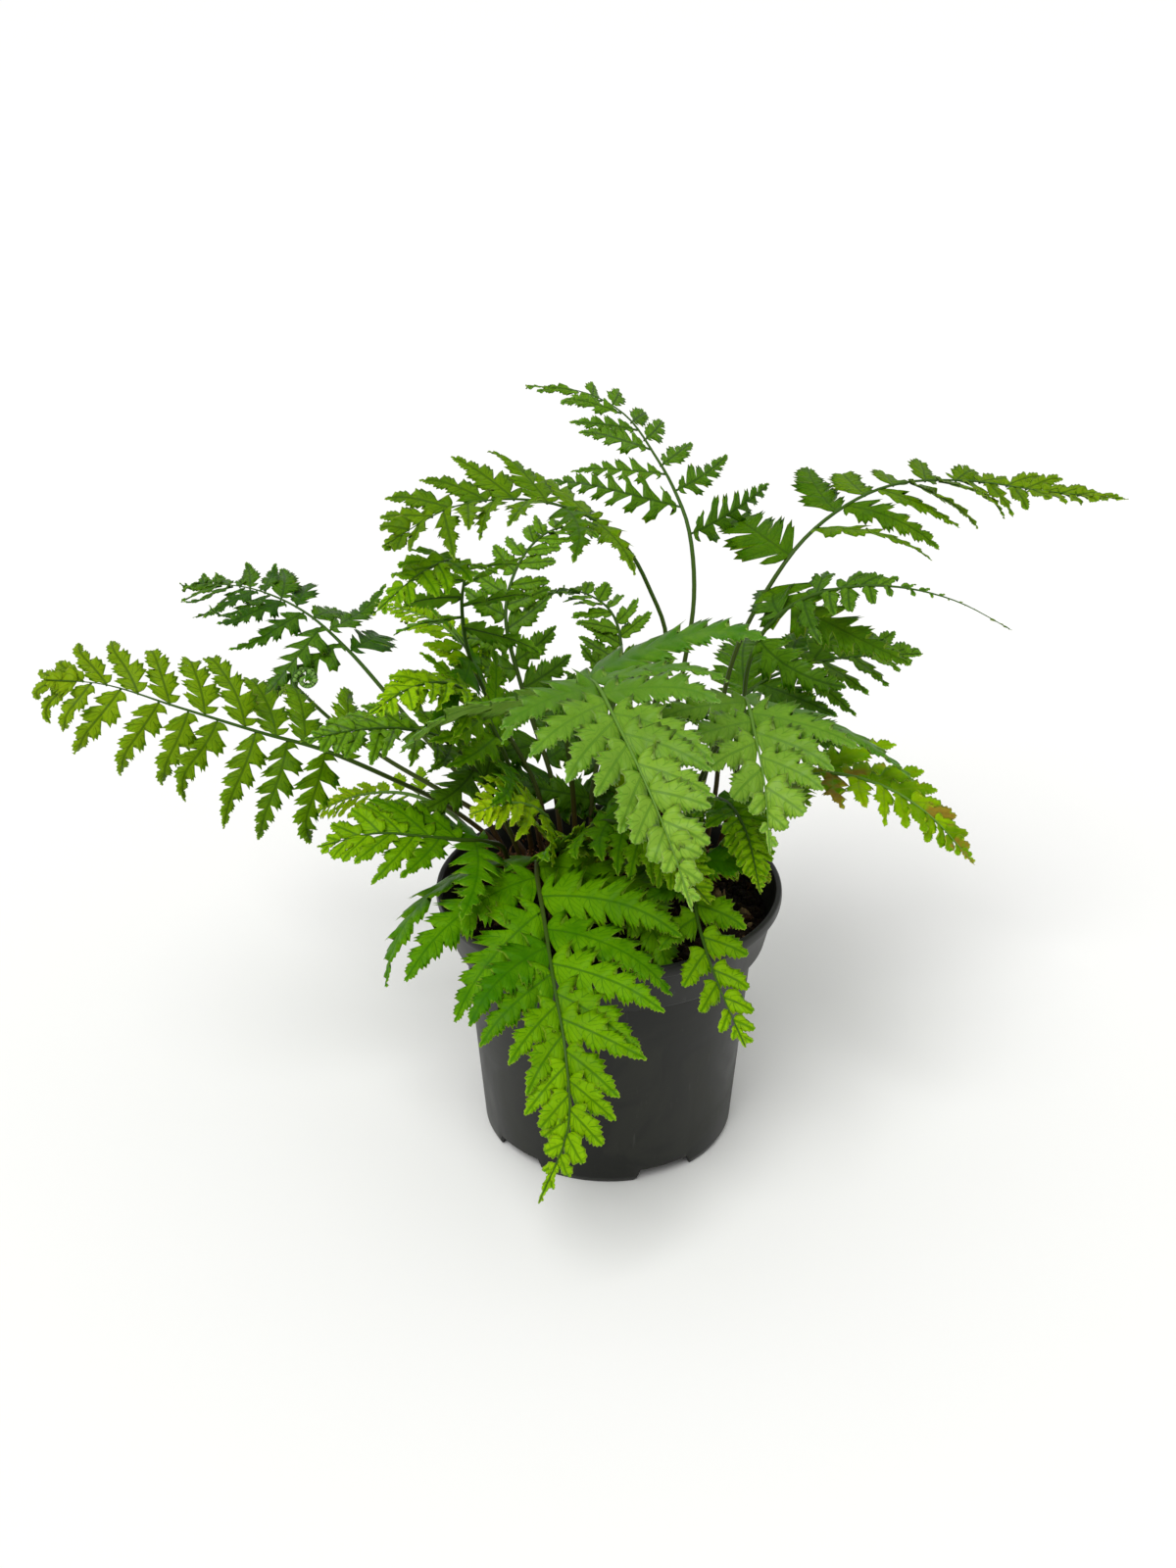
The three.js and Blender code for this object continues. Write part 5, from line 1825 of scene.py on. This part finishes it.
@dataclass
class GrowingMedium:
    """Peat with composted bark that fills the pot, lumpy on top, with loose crumbs, chips and root fibres."""

    PEAT = 0
    BARK = 1

    pot: NurseryPot
    clearance: float = 0.35
    surface_z: float = 84.0
    crown: float = 2.5
    lump: float = 0.9
    long_wave: float = 33.0
    short_wave: float = 20.0
    rings: int = 70
    sectors: int = 220
    middle: float = 0.02
    body_tone: float = 0.25
    margin: float = 2.0
    seed: int = 5

    # The height and the width of each size of crumb in the surface, and its layer of noise.
    crumbling: tuple = ((0.9, 5.0, 3.0), (0.7, 2.2, 7.0), (0.35, 1.0, 11.0))

    # The loose crumbs.
    crumbs: int = 2600
    crumb_size: Pair = (0.5, 1.7)
    crumb_spread: float = 1.4
    crumb_shape: Pair = (0.6, 1.2)
    crumb_rough: float = 0.3
    crumb_rise: float = 0.35
    crumb_tone: Pair = (0.0, 0.75)

    # The chips of bark.
    chips: int = 260
    chip_length: Pair = (1.6, 4.6)
    chip_width: Pair = (0.3, 0.6)
    chip_thickness: Pair = (0.3, 0.9)
    chip_rough: float = 0.25
    chip_rise: Pair = (0.4, 1.4)
    chip_tone: Pair = (0.1, 1.0)
    chip_tone_spread: float = 1.5

    # The root fibres.
    fibres: int = 140
    fibre_rise: Pair = (0.3, 1.0)
    fibre_bend: float = 0.9
    fibre_length: Pair = (4.0, 12.0)
    fibre_points: int = 9
    fibre_sides: int = 4
    fibre_limit: float = 0.68
    fibre_above: float = 0.9
    fibre_arch: float = 1.2
    fibre_half: float = 0.16
    fibre_end: float = 0.05
    fibre_tone: Pair = (0.3, 1.1)

    def outer(self) -> float:
        """The radius of the surface, just inside the collar."""
        return self.pot.collar_radius(self.surface_z) - self.pot.wall - self.clearance

    def height(self, x: np.ndarray, y: np.ndarray) -> np.ndarray:
        """Gives the height of the surface: the solid's low crown and lumps.

        Args:
            x: The places' distances to the right of the pot's middle.
            y: Their distances behind it.

        Returns:
            The height at each place.
        """
        share = np.minimum(np.hypot(x, y) / self.outer(), 1.0)

        def wave(distance: np.ndarray, length: float) -> np.ndarray:
            """A wave of a length, at distances along it."""
            return np.sin(2 * np.pi * distance / length + 1)

        lump = wave(x, self.short_wave) * wave(y, self.short_wave) + wave(x - y, self.long_wave)
        return self.surface_z + self.crown * (1 - share ** 2) + self.lump * lump * (1 - share ** 4)

    def crumbled(self, x: np.ndarray, y: np.ndarray) -> np.ndarray:
        """Gives the height of the surface with its fine crumbs.

        Args:
            x: The places' distances to the right of the pot's middle.
            y: Their distances behind it.

        Returns:
            The height at each place.
        """
        rough = [
            sum(high * noise.noise(Vector((a / wide, b / wide, z))) for high, wide, z in self.crumbling)
            for a, b in zip(x.ravel(), y.ravel())
        ]
        return self.height(x, y) + np.array(rough).reshape(x.shape)

    def build_body(self, material: Material) -> Object:
        """Builds the medium's closed body with its crumbled surface.

        Args:
            material: The peat.

        Returns:
            The body's piece.
        """
        pot = self.pot
        gap = pot.wall + self.clearance
        floor_z = pot.channel_z + pot.wall
        ledge_z = pot.collar_bottom_z + pot.wall
        sides = np.array([
            (pot.disc_radius - gap, gap),
            (pot.disc_radius - gap, floor_z + self.clearance),
            (pot.body_radius(floor_z) - gap, floor_z + self.clearance),
            (pot.body_top_radius - gap, ledge_z - pot.ledge_fall),
            (pot.body_top_radius - gap, ledge_z + self.clearance),
            (pot.collar_radius(ledge_z) - gap, ledge_z + self.clearance),
        ])
        angle = round_angles(self.sectors)
        top = self.outer() * np.linspace(1.0, self.middle, self.rings)
        radius = np.concatenate([sides[:, 0], top])[:, None] * np.ones(self.sectors)
        x = radius * np.cos(angle)
        y = radius * np.sin(angle)
        z = np.concatenate([sides[:, 1], np.zeros(self.rings)])[:, None] * np.ones(self.sectors)
        z[len(sides):] = self.crumbled(x[len(sides):], y[len(sides):])
        skin = Skin("tone")
        numbers = skin.add(np.stack([x, y, z], axis=-1), tone=np.array([self.body_tone, 0.0, 0.0]))
        skin.band(numbers, flip=True)
        skin.face(numbers[:1], flip=True)
        skin.face(numbers[-1:])
        return skin.piece("growing_medium", [material])

    def scatter(self, count: int, rng: Generator, rise: np.ndarray) -> np.ndarray:
        """Spreads places over the surface.

        Args:
            count: How many.
            rng: The source of the places.
            rise: How far each lies above the surface.

        Returns:
            The places.
        """
        radius = (self.outer() - self.margin) * np.sqrt(rng.uniform(0.0, 1.0, count))
        angle = rng.uniform(0.0, 2 * np.pi, count)
        x = radius * np.cos(angle)
        y = radius * np.sin(angle)
        return np.stack([x, y, self.height(x, y) + rise], axis=-1)

    def add_crumbs(self, skin: Skin, rng: Generator) -> None:
        """Adds the loose crumbs of peat.

        Args:
            skin: The skin to add them to.
            rng: The source of their sizes and places.
        """
        size = rng.uniform(*self.crumb_size, self.crumbs) ** self.crumb_spread
        sizes = size[:, None] * rng.uniform(*self.crumb_shape, (self.crumbs, 3))
        tone = np.zeros((self.crumbs, 3))
        tone[:, 0] = rng.uniform(*self.crumb_tone, self.crumbs)
        places = self.scatter(self.crumbs, rng, self.crumb_rise * size)
        add_lumps(skin, places, sizes, rng, self.crumb_rough, tone, self.PEAT)

    def add_chips(self, skin: Skin, rng: Generator) -> None:
        """Adds the flat chips of bark.

        Args:
            skin: The skin to add them to.
            rng: The source of their sizes and places.
        """
        length = rng.uniform(*self.chip_length, self.chips)
        width = length * rng.uniform(*self.chip_width, self.chips)
        thickness = rng.uniform(*self.chip_thickness, self.chips)
        tone = np.zeros((self.chips, 3))
        tone[:, 0] = rng.uniform(*self.chip_tone, self.chips) ** self.chip_tone_spread
        places = self.scatter(self.chips, rng, rng.uniform(*self.chip_rise, self.chips))
        sizes = np.stack([length, width, thickness], axis=-1)
        add_lumps(skin, places, sizes, rng, self.chip_rough, tone, self.BARK)

    def add_fibre(self, skin: Skin, rng: Generator, root: np.ndarray) -> None:
        """Adds one bent root fibre that arches over the surface.

        Args:
            skin: The skin to add it to.
            rng: The source of its shape.
            root: Where its middle lies.
        """
        turn = rng.uniform(0.0, 2 * np.pi)
        bend = rng.uniform(-self.fibre_bend, self.fibre_bend)
        length = rng.uniform(*self.fibre_length)
        t = np.linspace(-0.5, 0.5, self.fibre_points)
        x = root[0] + length * t * math.cos(turn) - bend * length * t ** 2 * math.sin(turn)
        y = root[1] + length * t * math.sin(turn) + bend * length * t ** 2 * math.cos(turn)
        limit = self.outer() * self.fibre_limit
        x, y = (np.clip(axis, -limit, limit) for axis in (x, y))
        arch = self.fibre_arch * np.cos(t * np.pi) * rng.uniform(0, 1)
        line = np.stack([x, y, self.height(x, y) + self.fibre_above + arch], axis=-1)
        along = unit(np.gradient(line, axis=0))
        side = unit(np.cross(along, UP))
        half = self.fibre_half * np.sqrt(np.maximum(1.0 - (2 * t) ** 2, self.fibre_end))
        rings = Places(line, along, side, np.cross(side, along)).rings(half, self.fibre_sides)
        tone = np.array([rng.uniform(*self.fibre_tone), 0.0, 0.0])
        skin.tube(rings[:, ::-1], finish=self.BARK, tone=tone)

    def build_crumbs(self, materials: list[Material]) -> Object:
        """Builds the loose bits on the surface.

        Args:
            materials: The peat's and the bark's material.

        Returns:
            The piece that holds them all.
        """
        rng = np.random.default_rng(self.seed)
        skin = Skin("tone")
        self.add_crumbs(skin, rng)
        self.add_chips(skin, rng)
        for root in self.scatter(self.fibres, rng, rng.uniform(*self.fibre_rise, self.fibres)):
            self.add_fibre(skin, rng, root)
        return skin.piece("medium_crumbs", materials)


@dataclass
class Rhizome:
    """The creeping stem that the fronds spring from, half sunk in the medium, with its papery scales."""

    SCALE = 1

    run: tuple = ((-47, 19), (-37, 24), (-24, 21), (-10, 19), (5, 21), (20, 23), (33, 25), (45, 24))
    centre_z: float = 85.5
    radius: float = 6.2
    girth: float = 0.96
    knob: float = 0.8
    knob_pace: Pair = (32.0, 16.0)
    bluntness: float = 4.0
    ends: Pair = (0.004, 0.996)
    rings: int = 90
    sides: int = 28
    body_tone: float = 0.3
    scales: int = 1300
    scale_span: Pair = (0.01, 0.99)
    scale_overhang: float = 0.25
    scale_out: Pair = (0.15, 0.7)
    scale_up: float = 0.15
    scale_sunk: float = 0.2
    scale_length: Pair = (2.0, 5.0)
    scale_half: float = 0.6
    seed: int = 12

    def surface(self, curve: Curve, share: np.ndarray, turn: np.ndarray) -> tuple[np.ndarray, np.ndarray]:
        """Gives places on the knobbly stem.

        Args:
            curve: The stem's middle line.
            share: How far along it each place is.
            turn: The angle of each round the stem, in radians.

        Returns:
            The places, and the direction out of the stem at each.
        """
        right = unit(np.cross(curve.along(share), UP))
        out = right * np.cos(turn)[..., None] + UP * np.sin(turn)[..., None]
        blunt = np.sqrt(np.minimum(1.0, np.sin(np.pi * share) * self.bluntness))
        along, around = self.knob_pace
        knob = self.knob * np.sin(along * share + around / (2 * np.pi) * turn)
        return curve.at(share) + out * ((self.radius + knob) * blunt * self.girth)[..., None], out

    def build(self, materials: list[Material]) -> Object:
        """Builds the stem and its scales.

        Args:
            materials: The stem's and the scales' material.

        Returns:
            The rhizome's piece.
        """
        rng = np.random.default_rng(self.seed)
        skin = Skin("tone")
        curve = Curve(np.array([(x, y, self.centre_z) for x, y in self.run], dtype=float))
        share = np.linspace(*self.ends, self.rings)[:, None] * np.ones(self.sides)
        turn = round_angles(self.sides)[None] * np.ones((self.rings, 1))
        skin.tube(self.surface(curve, share, turn)[0], tone=np.array([self.body_tone, 0.0, 0.0]))
        where = rng.uniform(*self.scale_span, self.scales)
        angle = rng.uniform(-self.scale_overhang, np.pi + self.scale_overhang, self.scales)
        root, out = self.surface(curve, where, angle)
        along = curve.along(where) * rng.choice([-1.0, 1.0], self.scales)[:, None]
        lean = unit(out * rng.uniform(*self.scale_out, (self.scales, 1)) + along + UP * self.scale_up)
        length = rng.uniform(*self.scale_length, self.scales)
        add_scales(skin, root - out * self.scale_sunk, lean, length, self.scale_half, self.SCALE)
        return skin.piece("rhizome_stem", materials)


@dataclass
class Studio:
    """A plain pale floor, soft light from all round, and the camera where the photograph was taken from."""

    camera_mm: tuple[float, float, float] = (0.0, -566.5, 410.0)
    yaw_deg: float = 0.736
    pitch_deg: float = 26.04
    lens_mm: float = 42.75
    floor_m: float = 40.0
    floor_colour: str = "#f4f4f2"
    floor_roughness: float = 0.9
    sky: float = 0.6
    sun: float = 2.1
    sun_spread_deg: float = 35.0
    sun_tilt_deg: tuple[float, float, float] = (32.0, -14.0, 0.0)
    backdrop: float = 1.0

    def set_camera(self) -> None:
        """Adds the camera."""
        lens = bpy.data.cameras.new("camera")
        lens.lens = self.lens_mm
        camera = bpy.data.objects.new("camera", lens)
        bpy.context.scene.collection.objects.link(camera)
        yaw, pitch = math.radians(self.yaw_deg), math.radians(self.pitch_deg)
        gaze = Vector((-math.sin(yaw) * math.cos(pitch), math.cos(yaw) * math.cos(pitch), -math.sin(pitch)))
        camera.location = Vector(self.camera_mm) * MM
        camera.rotation_euler = gaze.to_track_quat("-Z", "Y").to_euler()
        bpy.context.scene.camera = camera

    def lay_floor(self) -> None:
        """Adds the floor: matt white paint."""
        material, add = start_material("floor_paint_matt")
        surface = add(
            "BsdfPrincipled", {"Base Color": linear(self.floor_colour), "Roughness": self.floor_roughness},
        )
        add("OutputMaterial", links={0: surface})
        half = self.floor_m / MM / 2
        skin = Skin()
        corners = np.array([[-half, -half, 0], [half, -half, 0], [half, half, 0], [-half, half, 0]])
        skin.face(skin.add(corners)[None])
        skin.piece("floor", [material])

    def light(self) -> None:
        """Sets the soft surrounding light and one broad light from above the front left."""
        world = bpy.data.worlds.new("studio")
        world.use_nodes = True
        world.node_tree.nodes.clear()
        add = partial(add_node, world.node_tree)
        path = add("LightPath")
        strength = add(
            "MapRange", {"To Min": self.sky, "To Max": self.backdrop}, {0: path.outputs["Is Camera Ray"]},
        )
        glow = add("Background", {"Color": linear("#ffffff")}, {"Strength": strength})
        add("OutputWorld", links={0: glow})
        bpy.context.scene.world = world
        lamp = bpy.data.lights.new("soft_key", "SUN")
        lamp.energy = self.sun
        lamp.angle = math.radians(self.sun_spread_deg)
        key = bpy.data.objects.new("soft_key", lamp)
        key.rotation_euler = [math.radians(angle) for angle in self.sun_tilt_deg]
        bpy.context.scene.collection.objects.link(key)
        bpy.context.scene.view_settings.view_transform = "Standard"

    def build(self) -> None:
        """Sets up the camera, the floor and the light."""
        self.set_camera()
        self.lay_floor()
        self.light()


def main() -> None:
    """Builds the whole scene."""
    logging.basicConfig(level=logging.INFO, format="%(message)s")
    Studio().build()
    leaves = {green: green.value.material() for green in Green}
    stalk = StalkFinish().material()
    peat = EarthFinish("peat_composted", "#0d0805", "#22150c", "#3e2a1a", 1.2).material()
    bark = EarthFinish("bark_chipped", "#1c0f08", "#4a2e1a", "#a08460", 1.6).material()
    scale = EarthFinish("fern_scale_papery", "#4a2815", "#8a5a34", "#b58a5c", 1.0, roughness=0.7).material()
    woody = EarthFinish("rhizome_skin", "#22140a", "#3f2814", "#6a4a2a", 1.2).material()

    pot = NurseryPot()
    show(pot.build(PotFinish().material()), "pot_plastic", "pot")
    medium = GrowingMedium(pot)
    show(medium.build_body(peat), "potting_mix", "soil")
    show(medium.build_crumbs([peat, bark]), "potting_mix")
    show(Rhizome().build([woody, scale]), "rhizome_scales", "rhizome")
    slots = {
        Green.YOUNG: "frond_young", Green.LIGHT: "frond_light", Green.BRIGHT: "frond_bright",
        Green.OLIVE: "frond_bright", Green.DEEP: "frond_deep",
    }
    for number, plan in enumerate(FRONDS):
        frond = Frond(plan, number).build([leaves[plan.green], stalk, scale])
        show(frond, slots[plan.green], plan.name)
    show(Crozier().build([leaves[Green.LIGHT], stalk, scale]), slots[Green.LIGHT], "frond_coiled")


if __name__ == "__main__":
    main()
